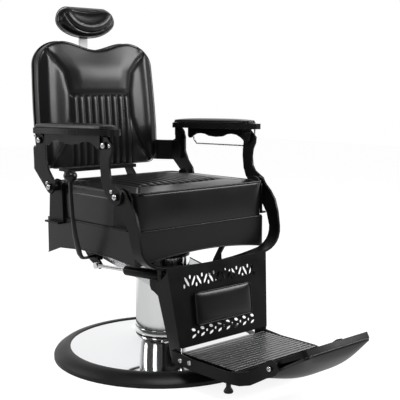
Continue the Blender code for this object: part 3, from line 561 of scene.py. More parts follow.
class BarberChairLook(bpy.types.PropertyGroup):
    """Colours and gloss of the chair."""

    leather_colour: bpy.props.FloatVectorProperty(
        name="Leather", description="Colour of the upholstery", subtype="COLOR", size=3, min=0, max=1,
        default=(0.0028, 0.0028, 0.0030))
    leather_gloss: bpy.props.FloatProperty(
        name="Leather roughness", description="Roughness of the upholstery", default=0.30, min=0.05, max=1,
        subtype="FACTOR")
    paint_colour: bpy.props.FloatVectorProperty(
        name="Paint", description="Colour of the powder coat", subtype="COLOR", size=3, min=0, max=1,
        default=(0.0028, 0.0028, 0.0031))


class BarberChairSizes(bpy.types.PropertyGroup):
    """Sizes of the upholstery's details."""

    seat_crown: bpy.props.FloatProperty(
        name="Seat crown", description="How far the seat's top swells", default=0.018, unit="LENGTH")
    channel_depth: bpy.props.FloatProperty(
        name="Channel depth", description="Depth of the sewn channels", default=0.0060, unit="LENGTH")
    channel_count: bpy.props.IntProperty(
        name="Back channels", description="Number of sewn channels on the back", default=9, min=3, max=21)
    welt_radius: bpy.props.FloatProperty(
        name="Welt radius", description="Radius of the piping in the seams", default=0.0019, unit="LENGTH")
    voxel: bpy.props.FloatProperty(
        name="Cover cell", description="Size of the upholstery's cells before refining", default=0.0105,
        unit="LENGTH")


class BarberChairStage(bpy.types.PropertyGroup):
    """The camera that took the photograph, and the lamps."""

    azimuth: bpy.props.FloatProperty(
        name="Azimuth", description="Camera's turn about the chair", default=math.radians(-42.102),
        subtype="ANGLE")
    pitch: bpy.props.FloatProperty(
        name="Pitch", description="Camera's tilt down", default=math.radians(7.497), subtype="ANGLE")
    place: bpy.props.FloatVectorProperty(
        name="Place", description="Camera's place", default=(-1.7537, -2.1230, 0.8691), unit="LENGTH", size=3)
    lens: bpy.props.FloatProperty(
        name="Lens", description="Focal length on a 36 mm sensor, in millimetres", default=77.09)
    lamp_power: bpy.props.FloatProperty(
        name="Lamp power", description="Power of the main soft lamp in watts", default=42.0)


def sizes():
    """The scene's sizes of the upholstery."""
    return bpy.context.scene.barber_chair_sizes


# ---------------------------------------------------------------- upholstery shapes


def cells(length):
    """How many cells of the cover fit in a length."""
    return max(2, int(round(length / sizes().voxel)))


def seat_shape(share):
    """The seat block: x across, y along, z up, with rounded upright corners and a rear sloping in below."""
    low, high = box("seat_cushion")
    half = high[0] - 0.0035
    across = (share[:, 0] * 2 - 1) * half
    depth_mid, depth_half = (low[1] + high[1]) / 2, (high[1] - low[1]) / 2 - 0.0015
    along = (share[:, 1] * 2 - 1) * depth_half
    across, along = round_corners(across, along, half, depth_half, 0.020, 0.020)
    top = 0.5635 + 0.0035 * (1 - (along / depth_half) ** 2)
    z = low[2] + 0.0004 + share[:, 2] * (top - low[2])
    rear = depth_half - np.interp(z, [low[2], 0.490, 0.530, 0.56], [0.060, 0.025, 0.0, 0.0])
    along = -depth_half + (along + depth_half) / (2 * depth_half) * (rear + depth_half)
    return np.stack([across, along + depth_mid, z], -1)


def build_seat():
    """The seat's cover: pressed out, then lowered along its seams and mitres and ribbed by its channels.

    Each seam is a narrow and a wide groove, depth exp(-(distance / width)^2), at its own distance.
    """
    low, high = box("seat_cushion")
    wide, deep, tall = high - low
    share, faces = block_lattice(cells(wide), cells(deep), cells(tall))
    rest = seat_shape(share)
    top = share[:, 2] > 0.999
    edge = np.minimum.reduce([share[:, 0], 1 - share[:, 0], share[:, 1], 1 - share[:, 1]])
    front = (share[:, 1] < 0.001) & ~top
    cap = np.where(top, sizes().seat_crown, 0.0022)
    cap = np.where(front, 0.0065, cap)
    held = np.where(share[:, 2] < 0.001, 1.0, 0.0)
    border = top & (edge < 0.001)
    held = np.maximum(held, np.where(border, 0.9, 0))
    shape = stuffed("seat", rest, faces, cap, 3.0, held)
    shape, faces, rest = refined(shape, faces, np.column_stack([rest[:, 0], rest[:, 1], share[:, 2]]), 2)
    x, y, h = rest.T
    on_top = step(h, 0.985, 0.999)
    seam = seat_seam(x, y)
    inside = on_top * (1 - step(seam, -0.004, 0.002))
    reach = 0.5 * SEAT_LANE * SEAT_LANES
    lanes = inside * (1 - step(np.abs(x), reach - 0.002, reach))
    lift = 1.35 * sizes().channel_depth * channel(x, SEAT_LANE) * lanes
    lift -= 0.0036 * bump(seam, 0.0030) * on_top
    lift -= 0.0034 * bump(seam, 0.0120) * on_top
    mitre = np.abs((np.abs(x) - SEAT_PANEL) + (y - seat_seam_y(SEAT_PANEL)) * 0.80)
    lift -= 0.0028 * bump(mitre, 0.0030) * on_top * step(np.abs(x), SEAT_PANEL, SEAT_PANEL + 0.006)
    side_seam = bump(h - 0.80, 0.030) * (1 - on_top)
    lift -= 0.0012 * side_seam * (np.abs(y - low[1]) > 0.03)
    shape = shape + normals_of(shape, faces) * lift[:, None]
    seat = make_mesh("seat_upholstery", shape, faces)
    fix(seat, "leather", "seat", ["seat_cushion"])
    normals = normals_of(shape, faces)
    seam_x = SEAT_PANEL * np.linspace(-1, 1, 90)
    places = np.stack([seam_x, seat_seam_y(seam_x), np.ones(90)], -1)
    line, _ = nearest_lift(shape, normals, rest, places, 0.0004)
    bead = sweep("seat_front_welt", smooth_path(line[::3], 120), sizes().welt_radius * 0.6)
    fix(bead, "leather", "seat")
    ring = welt_ring(0.2605, (-0.2015, 0.2605), 0.022, 0.5655)
    fix(sweep("seat_top_welt", ring, 0.0024, closed=True), "leather", "seat")
    ring = welt_ring(0.2612, (-0.2022, 0.201), 0.012, 0.4535)
    fix(sweep("seat_low_welt", ring, 0.0018, closed=True), "leather", "seat")


def seat_seam_y(x):
    """The front edge of the channelled panel: a shallow curve across the seat."""
    return -0.093 - 0.012 * (1 - (x / SEAT_PANEL) ** 2)


def seat_seam(x, y):
    """Distance outside the channelled panel, negative inside it."""
    return np.maximum(np.abs(x) - SEAT_PANEL, seat_seam_y(x) - y)


def welt_ring(half, span, radius, z):
    """A rounded rectangle in plan at one height."""
    t = np.linspace(0, 1, 160, endpoint=False)
    u = np.where(t < 0.25, -1 + 8 * t, np.where(t < 0.5, 1, np.where(t < 0.75, 1 - 8 * (t - 0.5), -1)))
    down = np.where(t < 0.75, 1, 1 - 8 * (t - 0.75))
    v = np.where(t < 0.25, -1, np.where(t < 0.5, -1 + 8 * (t - 0.25), down))
    middle, deep = sum(span) / 2, (span[1] - span[0]) / 2
    a, b = round_corners(u * half, v * deep, half, deep, radius, radius)
    path = np.stack([a, b + middle, np.full(len(a), z)], -1)
    return smooth_path(path, 200, closed=True)


def back_width(z):
    """Half-width of the back at height z: a waisted shield."""
    return np.interp(z, [0.598, 0.66, 0.72, 0.80, 0.87, 0.94, 1.03],
                     [0.236, 0.2425, 0.2455, 0.2450, 0.2425, 0.2390, 0.2370])


def back_seam(z):
    """|x| of the seam between the back's middle and its side borders at height z."""
    return np.interp(z, [0.598, 0.615, 0.69, 0.76, 0.847, 0.92, 0.97, 1.02],
                     [0.208, 0.200, 0.155, 0.129, 0.125, 0.140, 0.180, 0.235])


def back_face(share_x, share_z, inset=0.0):
    """Seen from the front: a rounded rectangle scaled to the waist, with a dip between two shoulders."""
    low_z, high_z = 0.5985 + inset, 1.0235 - inset
    mid, half = (low_z + high_z) / 2, (high_z - low_z) / 2
    a, b = (share_x * 2 - 1), (share_z * 2 - 1) * half
    upper = b > 0
    ra, rb = np.where(upper, 0.44, 0.17), np.where(upper, 0.080, 0.042)
    a, b = round_corners(a, b, 1.0, half, ra, rb)
    z = b + mid
    x = a * (back_width(z) - inset)
    dip = 0.0265 * (0.5 + 0.5 * np.cos(np.pi * np.clip(np.abs(x) / 0.140, 0, 1)))
    z = z - dip * step(z, 0.88, 1.0)
    return x, z


def back_lean(z):
    """How far the back leans to the rear at height z: 0.09 (z - 0.6)."""
    return 0.09 * (z - 0.6)


def build_back():
    """The back's cover: a shield pressed out, with channels, seams, a swell above them and rolled sides."""
    front, rear = 0.312, 0.3517
    share, faces = block_lattice(cells(0.49), 4, cells(0.425))
    x, z = back_face(share[:, 0], share[:, 2], 0.0020)
    rest = np.stack([x, front + 0.007 + share[:, 1] * (rear - front - 0.007) + back_lean(z), z], -1)
    face = share[:, 1] < 0.001
    edge = np.minimum.reduce([share[:, 0], 1 - share[:, 0], share[:, 2], 1 - share[:, 2]])
    cap = np.where(face, 0.013, 0.0025)
    held = np.where(share[:, 1] > 0.999, 1.0, 0.0)
    held = np.maximum(held, np.where(face & (edge < 0.001), 0.9, 0.0))
    shape = stuffed("back", rest, faces, cap, 3.0, held)
    flat = np.column_stack([rest[:, 0], share[:, 1], rest[:, 2]])
    shape, faces, rest = refined(shape, faces, flat, 2)
    x, h, z = rest.T
    on_face = 1 - step(h, 0.001, 0.02)
    seam = np.abs(x) - back_seam(z)
    lane = 2 * BACK_PANEL / sizes().channel_count
    shift = 0.5 * lane * (sizes().channel_count % 2 == 0)
    lanes = on_face * step(0.1275 - np.abs(x), -0.001, 0.002) * step(0.8440 - z, 0.0, 0.008)
    lift = sizes().channel_depth * channel(x + shift, lane) * lanes
    lift -= 0.0032 * bump(seam, 0.0026) * on_face
    lift -= 0.0030 * bump(seam, 0.0120) * on_face
    cross = z - BACK_CROSS_SEAM
    lift -= 0.0030 * bump(cross, 0.0026) * on_face * (np.abs(x) < 0.127)
    lift -= 0.0026 * bump(cross, 0.0110) * on_face * (1 - step(np.abs(x), 0.115, 0.127))
    lift += 0.0060 * bump(z - 0.915, 0.050) * on_face * (1 - step(np.abs(x) / back_seam(z), 0.55, 1.0))
    roll = np.minimum(back_width(z) - np.abs(x), 0.2)
    lift += 0.0055 * bump(roll - 0.034, 0.020) * on_face * step(z, 0.60, 0.64)
    shape = shape + normals_of(shape, faces) * lift[:, None]
    back = make_mesh("back_upholstery", shape, faces)
    fix(back, "leather", "back", ["back_cushion"])
    normals = normals_of(shape, faces)
    z_run = np.linspace(0.612, 1.000, 70)
    for side, mark in ((-1, "R"), (1, "L")):
        places = np.stack([side * back_seam(z_run), np.zeros(70), z_run], -1)
        line, _ = nearest_lift(shape, normals, rest, places, 0.0006)
        path = smooth_path(line[::3], 110)
        bead = sweep("back_seam_welt_" + mark, path, sizes().welt_radius * 0.5, up=(0, 1, 0))
        fix(bead, "leather", "back")
    places = np.stack([np.linspace(-0.126, 0.126, 40), np.zeros(40), np.full(40, BACK_CROSS_SEAM)], -1)
    line, _ = nearest_lift(shape, normals, rest, places, 0.0006)
    bead = sweep("back_cross_welt", smooth_path(line[::3], 70), sizes().welt_radius * 0.7, up=(0, 1, 0))
    fix(bead, "leather", "back")
    u, v = square_run(240)
    for name, y, inset, radius in (("back_front_welt", front + 0.0075, 0.0012, 0.0015),
                                   ("back_rear_welt", rear + 0.0002, 0.0006, 0.0019)):
        x, z = back_face(u, v, inset)
        path = smooth_path(np.stack([x, y + back_lean(z), z], -1), 300, closed=True)
        fix(sweep(name, path, radius, closed=True, up=(0, 1, 0)), "leather", "back")
    build_back_shell(rear)


def square_run(count):
    """Evenly spaced points round the edge of the unit square, as (u, v) shares."""
    t = np.linspace(0, 1, count, endpoint=False)
    u = np.where(t < 0.25, 4 * t, np.where(t < 0.5, 1, np.where(t < 0.75, 1 - 4 * (t - 0.5), 0)))
    down = np.where(t < 0.75, 1, 1 - 4 * (t - 0.75))
    v = np.where(t < 0.25, 0, np.where(t < 0.5, 4 * (t - 0.25), down))
    return u, v


def build_back_shell(rear):
    """The covered rear shell: the same outline, rolled over to a nearly flat rear panel."""
    share, faces = block_lattice(cells(0.49), 6, cells(0.425))
    roll = share[:, 1] ** 2 * 0.016
    x, z = back_face(share[:, 0], share[:, 2], 0.0004)
    x = x * (1 - roll / 0.245)
    z = BACK_MIDDLE + (z - BACK_MIDDLE) * (1 - roll / 0.213)
    crown = np.where(share[:, 1] > 0.999, 0.0028 * (1 - (x / 0.24) ** 4), 0)
    rest = np.stack([x, rear + 0.0007 + share[:, 1] * 0.0290 + crown + back_lean(z), z], -1)
    shape, faces, _ = refined(rest, faces, rest)
    shell = make_mesh("back_shell_cover", shape, faces)
    fix(shell, "leather_plain", "back", ["back_shell"])
    u, v = square_run(240)
    x, z = back_face(u, v, 0.0004)
    shrink = 1 - 0.019 / 0.245
    level = BACK_MIDDLE + (z - BACK_MIDDLE) * shrink
    path = np.stack([x * shrink, rear + 0.0300 + back_lean(z), level], -1)
    path = smooth_path(path, 300, closed=True)
    bead = sweep("back_panel_welt", path, 0.0022, closed=True, up=(0, 1, 0))
    fix(bead, "leather", "back")


def headrest_face(u, v, inset=0.0):
    """Seen from the front: flat along the top with round corners, and one half ellipse below."""
    wide = 0.1195 - inset
    above, below = 0.0470 - inset, 0.0565 - inset
    a, b = (u * 2 - 1) * wide, v * 2 - 1
    tall = np.where(b > 0, above, below)
    ra = np.where(b > 0, 0.045, wide)
    a, b = round_corners(a, b * tall, wide, tall, ra, tall)
    return a, b + HEADREST_MIDDLE


def build_headrest():
    """The headrest's cover: pressed out, with a smooth bowl for the neck and a raised rim round it.

    The bowl is 1 - r^2 deep, with r the distance in an ellipse hung from the pad's top edge.
    """
    low, high = box("headrest_pad")
    share, faces = block_lattice(34, 7, 15)
    depth = share[:, 1]
    inset = 0.0150 * (1 - step(depth, -0.25, 0.55))
    x, z = headrest_face(share[:, 0], share[:, 2], 0.0025)
    scale = 1 - inset / 0.0565
    x, z = x * (1 - inset / 0.1195), HEADREST_MIDDLE + (z - HEADREST_MIDDLE) * scale
    y = low[1] + 0.005 + depth * (high[1] - low[1] - 0.0052)
    rest = np.stack([x, y, z], -1)
    face = depth < 0.001
    cap = np.where(face, 0.0085, 0.0035)
    held = np.where(depth > 0.999, 1.0, 0.0)
    shape = stuffed("headrest", rest, faces, cap, 4.0, held)
    flat = np.column_stack([x, depth, z])
    shape, faces, rest = refined(shape, faces, flat, 2)
    x, h, z = rest.T
    on_face = 1 - step(h, 0.001, 0.05)
    bowl = np.hypot(x / 0.080, np.clip(1.141 - z, 0, None) / 0.056) - 1
    outer = np.hypot(x / 0.104, np.clip(1.146 - z, 0, None) / 0.088) - 1
    lift = -0.0090 * np.clip(1 - (bowl + 1) ** 2, 0, 1) * on_face
    lift += 0.0026 * bump(bowl - 0.16, 0.16) * on_face
    lift -= 0.0022 * bump(outer * 0.09, 0.0022) * on_face
    shape = shape + normals_of(shape, faces) * lift[:, None]
    pad = make_mesh("headrest_upholstery", shape, faces)
    fix(pad, "leather", "headrest", ["headrest_pad"])
    u, v = square_run(160)
    x, z = headrest_face(u, v, 0.0004)
    path = smooth_path(np.stack([x, np.full(len(x), high[1] - 0.0024), z], -1), 200, closed=True)
    bead = sweep("headrest_rear_welt", path, 0.0017, closed=True, up=(0, 1, 0))
    fix(bead, "leather", "headrest")


def build_arm_pad(mark):
    """An armrest's pad: a long rounded rectangle that falls to the rear by 0.0171 y, pressed out on top."""
    low, high = box("arm_pad_" + mark)
    mid, half = (low + high) / 2, (high - low) / 2
    body = BODY_OF["arm_pad_" + mark]
    tilt, radius = -0.0171, 0.017
    share, faces = block_lattice(cells(0.058) + 2, cells(0.376), 3)
    ha, hb = half[0] - 0.0015, half[1] - 0.0015
    a, b = rounded(share[:, 0], share[:, 1], ha, hb, radius)
    y = b + mid[1]
    base = 0.7475 + tilt * y
    z = base + share[:, 2] * 0.0095
    rest = np.stack([a + mid[0], y, z], -1)
    top = share[:, 2] > 0.999
    cap = np.where(top, 0.0075, 0.0012)
    held = np.where(share[:, 2] < 0.001, 1.0, 0.0)
    shape = stuffed("arm", rest, faces, cap, 4.0, held)
    shape, faces, _ = refined(shape, faces, rest, 2)
    pad = make_mesh("arm_upholstery_" + mark, shape, faces)
    fix(pad, "leather", body, ["arm_pad_" + mark])
    a, b = rounded(*square_run(160), ha + 0.0006, hb + 0.0006, radius)
    y = b + mid[1]
    path = smooth_path(np.stack([a + mid[0], y, 0.7495 + tilt * y], -1), 240, closed=True)
    fix(sweep("arm_welt_" + mark, path, 0.0017, closed=True), "leather", body)


def panel_axes():
    """The calf panel's own axes: its top edge's middle, down it, and away behind it."""
    top, low = np.array([0, -0.268, 0.3495]), np.array([0, -0.298, 0.115])
    down = (low - top) / np.linalg.norm(low - top)
    return top, down, np.array([0, -down[2], down[1]]), np.linalg.norm(low - top)


def build_calf_pad():
    """The calf panel's pad: a rounded rectangle on the panel's front, pressed out away from it."""
    top, down, away, length = panel_axes()
    start, end = 0.349, 0.760
    ha, hb, radius = 0.115, (end - start) / 2 * length - 0.001, 0.011
    mid_b = (start + end) / 2 * length
    share, faces = block_lattice(cells(0.232), cells(0.097), 2)
    a, b = rounded(share[:, 0], share[:, 1], ha, hb, radius)
    out = 0.0003 + share[:, 2] * 0.0085
    rest = in_plane(top, down, a, b + mid_b) - out[:, None] * away
    faces = faces[:, ::-1]
    cap = np.where(share[:, 2] > 0.999, 0.0055, 0.001)
    held = np.where(share[:, 2] < 0.001, 1.0, 0.0)
    shape = stuffed("calf", rest, faces, cap, 4.0, held)
    shape, faces, _ = refined(shape, faces, rest, 2)
    pad = make_mesh("calf_upholstery", shape, faces)
    fix(pad, "leather", "legrest", ["calf_pad"])
    a, b = rounded(*square_run(120), ha, hb, radius)
    path = smooth_path(in_plane(top, down, a, b + mid_b) - 0.0088 * away, 200, closed=True)
    bead = sweep("calf_pad_welt", path, 0.0017, closed=True, up=away)
    fix(bead, "leather", "legrest")


def flip_axes():
    """The flip plate's own axes: its pivot, outwards along it, and away under it."""
    rise = math.radians(30)
    c, s = math.cos(rise), math.sin(rise)
    return np.array([0, -0.622, 0.130]), np.array([0, -c, s]), np.array([0, -s, -c])


def build_flip_pad():
    """The flip board's pad: a rounded rectangle swelling to a dome, (1 - (a / A)^4) (1 - (b / B)^2)^(3/4)."""
    pivot, out, under = flip_axes()
    ha, low_b, high_b, radius = 0.1355, -0.0535, 0.1255, 0.013
    mid_b, hb = (low_b + high_b) / 2, (high_b - low_b) / 2
    share, faces = block_lattice(cells(0.27), cells(0.18), 4)
    a, b = rounded(share[:, 0], share[:, 1], ha, hb, radius)
    dome = (1 - (a / ha) ** 4) * (1 - (b / hb) ** 2) ** 0.75
    depth = 0.0086 + share[:, 2] * (0.0075 + 0.0330 * dome)
    rest = in_plane(pivot, out, a, b + mid_b) + depth[:, None] * under
    cap = np.where(share[:, 2] > 0.999, 0.008, 0.001)
    held = np.where(share[:, 2] < 0.001, 1.0, 0.0)
    shape = stuffed("flip", rest, faces, cap, 4.0, held)
    shape, faces, _ = refined(shape, faces, rest)
    pad = make_mesh("flip_upholstery", shape, faces)
    fix(pad, "leather", "flip", ["flip_pad"])
    a, b = rounded(*square_run(160), ha, hb, radius)
    path = smooth_path(in_plane(pivot, out, a, b + mid_b) + 0.0098 * under, 240, closed=True)
    bead = sweep("flip_pad_welt", path, 0.0019, closed=True, up=under)
    fix(bead, "leather", "flip")


def build_valance():
    """The skirt under the seat: a sheet round the front and both sides, with a rolled hem along its foot.

    In front the lower edge is an arch, low + rise (1 - (x / outer)^2), and along the sides it follows listed
    heights. The inner face is the outer face moved in by WALL along the level normal (dy/ds, -dx/ds).
    """
    outer, front, rear = 0.2630, -0.2035, 0.269
    top, low, rise = 0.4512, 0.3515, 0.0225
    near, far = 0.0035, 0.012
    edge = np.array([[-outer, rear], [-outer, front + far], [-outer + near, front + near],
                     [-outer + far, front], [outer - far, front], [outer - near, front + near],
                     [outer, front + far], [outer, rear]])
    length = np.concatenate([[0], np.cumsum(np.linalg.norm(np.diff(edge, axis=0), axis=1))])
    at = np.unique(np.concatenate([np.linspace(0, length[-1], 150), length]))
    x, y = np.interp(at, length, edge[:, 0]), np.interp(at, length, edge[:, 1])
    side = np.interp(y, [front, -0.08, 0.08, 0.20, rear], [low, 0.362, 0.365, 0.356, 0.332])
    across = low + rise * (1 - (x / outer) ** 2)
    bottom = np.where(np.abs(y - front) < near + 0.0001, across, side)
    rows = 14
    z = top + (bottom - top) * np.linspace(0, 1, rows)[:, None]
    outside = np.stack(np.broadcast_arrays(x, y, z), -1)
    normal = np.stack([np.gradient(y, at), -np.gradient(x, at), np.zeros(len(at))], -1)
    loop = np.concatenate([outside, (outside - WALL * normal)[::-1]]).transpose(1, 0, 2)
    obj = make_mesh("valance", loop.reshape(-1, 3), grid_faces(len(at), 2 * rows, wrap=True))
    merged(obj, 40)
    fix(obj, "leather_plain", "seat", ["seat_skirt"])
    hem = np.stack([x, y, bottom + 0.0018], -1)
    fix(sweep("valance_hem", smooth_path(hem, 240), 0.0019), "leather_plain", "seat")


# ---------------------------------------------------------------- hardware


def socket_bolt(name, place, axis, body, radius, height):
    """A button-head bolt with a hexagon socket, as rings round its axis.

    The dome's ring at angle a is radius (0.62 + 0.38 cos a) wide and height (0.35 + 0.65 sin a) high. The
    socket is a six-sided pit, cos 30 / cos t from the axis, with t the angle from the nearest side's middle.
    """
    steps = 36
    pit = radius * 0.46
    turn = np.linspace(0, 2 * np.pi, steps, endpoint=False)
    hexagon = np.cos(np.pi / 6) / np.cos((turn + np.pi / 6) % (np.pi / 3) - np.pi / 6)
    rim = np.full(steps, radius)
    rings = [(rim, 0.0), (rim, height * 0.35)]
    for angle in (25, 50, 70):
        a = math.radians(angle)
        rings.append((rim * (0.62 + 0.38 * math.cos(a)), height * (0.35 + 0.65 * math.sin(a))))
    for share, level in ((1.12, 1.0), (1.0, 0.92), (1.0, 0.35), (0.02, 0.30)):
        rings.append((pit * hexagon * share, height * level))
    w = np.asarray(axis, float)
    u = np.array([0.0, 0.0, 1.0]) if abs(w[2]) < 0.9 else np.array([1.0, 0, 0])
    u = u - w * (u @ w)
    u /= np.linalg.norm(u)
    v = np.cross(w, u)
    circle = np.cos(turn)[:, None] * u + np.sin(turn)[:, None] * v
    points = np.stack([np.asarray(place) + r[:, None] * circle + h * w for r, h in rings])
    obj = make_mesh(name, points.reshape(-1, 3), grid_faces(len(rings), steps, wrap=True))
    merged(obj, 35)
    return fix(obj, "steel", body)


def build_bolts():
    """Bolts on the outer faces of the posts, brackets and footrest arms, mirrored from left to right."""
    for side, mark, word in ((-1, "R", "right"), (1, "L", "left")):
        post, arm = "post_" + word, "arm_" + word
        for name, body, x, y, z, radius, height in (
                (f"rear_post_bolt_{mark}", "back", 0.3032, 0.197, 0.556, 0.0088, 0.0044),
                (f"rear_post_top_bolt_{mark}", "back", 0.3032, 0.249, 0.702, 0.0088, 0.0044),
                (f"front_post_bolt_{mark}", post, 0.3032, -0.152, 0.556, 0.0088, 0.0044),
                (f"front_post_top_bolt_{mark}", post, 0.3032, -0.100, 0.702, 0.0088, 0.0044),
                (f"foot_arm_bolt_{mark}1", "legrest", 0.1867, -0.305, 0.084, 0.0072, 0.0052),
                (f"foot_arm_bolt_{mark}2", "legrest", 0.1867, -0.345, 0.087, 0.0072, 0.0052),
                (f"flip_bolt_{mark}", "flip", 0.1505, -0.622, 0.130, 0.0072, 0.0046),
                (f"lug_bolt_{mark}", arm, 0.3042, 0.2670, 0.7165, 0.0060, 0.0036),
                (f"post_tie_bolt_{mark}", post, 0.2978, -0.1240, 0.7020, 0.0060, 0.0036),
                (f"post_foot_bolt_{mark}", post, 0.2978, -0.1300, 0.5700, 0.0060, 0.0036),
                (f"rear_foot_bolt_{mark}", "back", 0.2978, 0.2140, 0.5680, 0.0060, 0.0036)):
            socket_bolt(name, (side * x, y, z), (side, 0, 0), body, radius, height)


def build_pump_trim():
    """The dark rubber rings above and below the collar: flat square bands turned round the column."""
    low, high = box("pump_collar")
    inner, outer, tall = 0.0885, 0.0899, 0.0009
    for name, z in (("shroud_wiper", high[2] + 0.0003), ("collar_seal", low[2] - 0.0014)):
        band = [(inner, z), (outer, z), (outer, z + tall), (inner, z + tall)]
        fix(spin(name, band + band[:1], (0, 0, 0), (0, 0, 1), 96), "rubber", "base")


def build_base_cover():
    """The polished cover: a profile that rises smoothly to the column, 4.2 mm thick, turned about it."""
    rise = [(0.3029, 0.0346), (0.280, 0.0378), (0.250, 0.0417), (0.220, 0.0458), (0.190, 0.0504)]
    rise += [(0.160, 0.0557), (0.135, 0.0608), (0.115, 0.0657), (0.099, 0.0705), (0.0752, 0.0746)]
    upper = smooth_path(np.array([(r, 0, z) for r, z in rise]), 60)[:, [0, 2]]
    lower = (upper - [0, 0.0042])[::-1]
    loop = np.concatenate([upper, lower, upper[:1]])
    cover = spin("base_cover_mirror", loop, (0, 0, 0), (0, 0, 1), 160)
    fix(cover, "chrome", "base", ["base_cover"])


def build_knob():
    """The lever's mushroom knob, turned from a smooth profile."""
    profile = [(0.0, 0.5888), (0.0112, 0.5888), (0.0122, 0.5910), (0.0150, 0.5940), (0.0186, 0.5985),
               (0.0207, 0.6045), (0.0206, 0.6090), (0.0186, 0.6143), (0.0150, 0.6180), (0.0100, 0.6204),
               (0.0050, 0.6214), (0.0, 0.6216)]
    profile = smooth_path(np.array([(r, 0, z) for r, z in profile]), 44)[:, [0, 2]]
    profile[[0, -1], 0] = 0
    knob = spin("lever_mushroom_knob", profile, (-0.332, 0.029, 0), (0, 0, 1), 48, 60)
    fix(knob, "plastic", "lever", ["lever_knob"])


def smoothed_copy(node, finish):
    """Stands for a rigid node with the same shape, its points merged and its edges slightly rounded."""
    source = NODES[node]
    obj = bpy.data.objects.new(node + "_finished", source.data.copy())
    bpy.context.scene.collection.objects.link(obj)
    if obj.data.attributes.get("custom_normal"):
        obj.data.attributes.remove(obj.data.attributes["custom_normal"])
    work = bmesh.new()
    work.from_mesh(obj.data)
    bmesh.ops.remove_doubles(work, verts=work.verts, dist=2e-6)
    bmesh.ops.dissolve_limit(work, angle_limit=math.radians(0.5), verts=work.verts, edges=work.edges)
    work.to_mesh(obj.data)
    work.free()
    obj.data.shade_smooth()
    edge = obj.modifiers.new("edge", "BEVEL")
    edge.width = 0.0008
    edge.segments = 2
    edge.limit_method = "ANGLE"
    edge.angle_limit = math.radians(32)
    edge.harden_normals = True
    return fix(obj, finish, BODY_OF[node], [node])


FINISH_OF_SLOT = {"chrome": "chrome", "rubber": "rubber", "gloss_plastic": "plastic", "steel": "steel",
                  "leather": "leather_plain", "plywood": "plywood", "tread": "tread",
                  "black_steel": "black_steel"}
FINISH_OF_NODE = {"shroud": "column", "pump_collar": "column", "headrest_stem": "stem_grey",
                  "back_plate_L": "black_steel", "back_plate_R": "black_steel"}


def finish_of(node):
    """A node's own finish, or that of its slot."""
    return FINISH_OF_NODE.get(node, FINISH_OF_SLOT[SLOT_OF[node]])


def finish_frame():
    """Gives every node of the frame its finish."""
    for node, obj in NODES.items():
        put_on(obj, finish_of(node))


# ---------------------------------------------------------------- stage


def light_path(tree, towards, low, high):
    """1 for what the camera sees, and for reflections a share that grows from the room's near side on.

    The share is the dot product of the direction or place with ROOM_AXIS, mapped from low..high to 0.06..1 by
    a smooth step.
    """
    path = tree.nodes.new("ShaderNodeLightPath")
    dot = tree.nodes.new("ShaderNodeVectorMath")
    dot.operation = "DOT_PRODUCT"
    dot.inputs[1].default_value = ROOM_AXIS
    tree.links.new(towards, dot.inputs[0])
    share = map_range(tree, dot.outputs["Value"], (low, high), (0.06, 1.0), smooth=True)
    shown = arithmetic(tree, "MULTIPLY", path.outputs["Is Glossy Ray"], share)
    shown = arithmetic(tree, "MAXIMUM", shown, path.outputs["Is Camera Ray"])
    return arithmetic(tree, "MAXIMUM", shown, path.outputs["Is Transmission Ray"])


def world_light():
    """A white room for the camera, darker in front than behind in reflections, and a plain grey fill."""
    world = bpy.data.worlds.new("studio")
    bpy.context.scene.world = world
    world.use_nodes = True
    tree = world.node_tree
    background = tree.nodes["Background"]
    background.inputs["Color"].default_value = (1, 1, 1, 1)
    place = tree.nodes.new("ShaderNodeTexCoord")
    shown = light_path(tree, place.outputs["Generated"], 0.10, 0.90)
    filled = map_range(tree, shown, (0.0, 1.0), (FILL_LIGHT, 1.0))
    path = tree.nodes.new("ShaderNodeLightPath")
    mix = tree.nodes.new("ShaderNodeMix")
    mix.data_type = "FLOAT"
    tree.links.new(path.outputs["Is Glossy Ray"], mix.inputs["Factor"])
    tree.links.new(filled, mix.inputs["A"])
    tree.links.new(shown, mix.inputs["B"])
    tree.links.new(mix.outputs["Result"], background.inputs["Strength"])


def lamp(name, place, target, size, power):
    """A soft lamp, wide and tall as given, that looks from its place at a target."""
    light = bpy.data.lights.new(name, "AREA")
    light.energy = power
    light.shape = "RECTANGLE"
    light.size, light.size_y = size
    obj = bpy.data.objects.new(name, light)
    bpy.context.scene.collection.objects.link(obj)
    obj.location = place
    obj.rotation_euler = (Vector(target) - Vector(place)).to_track_quat("-Z", "Y").to_euler()


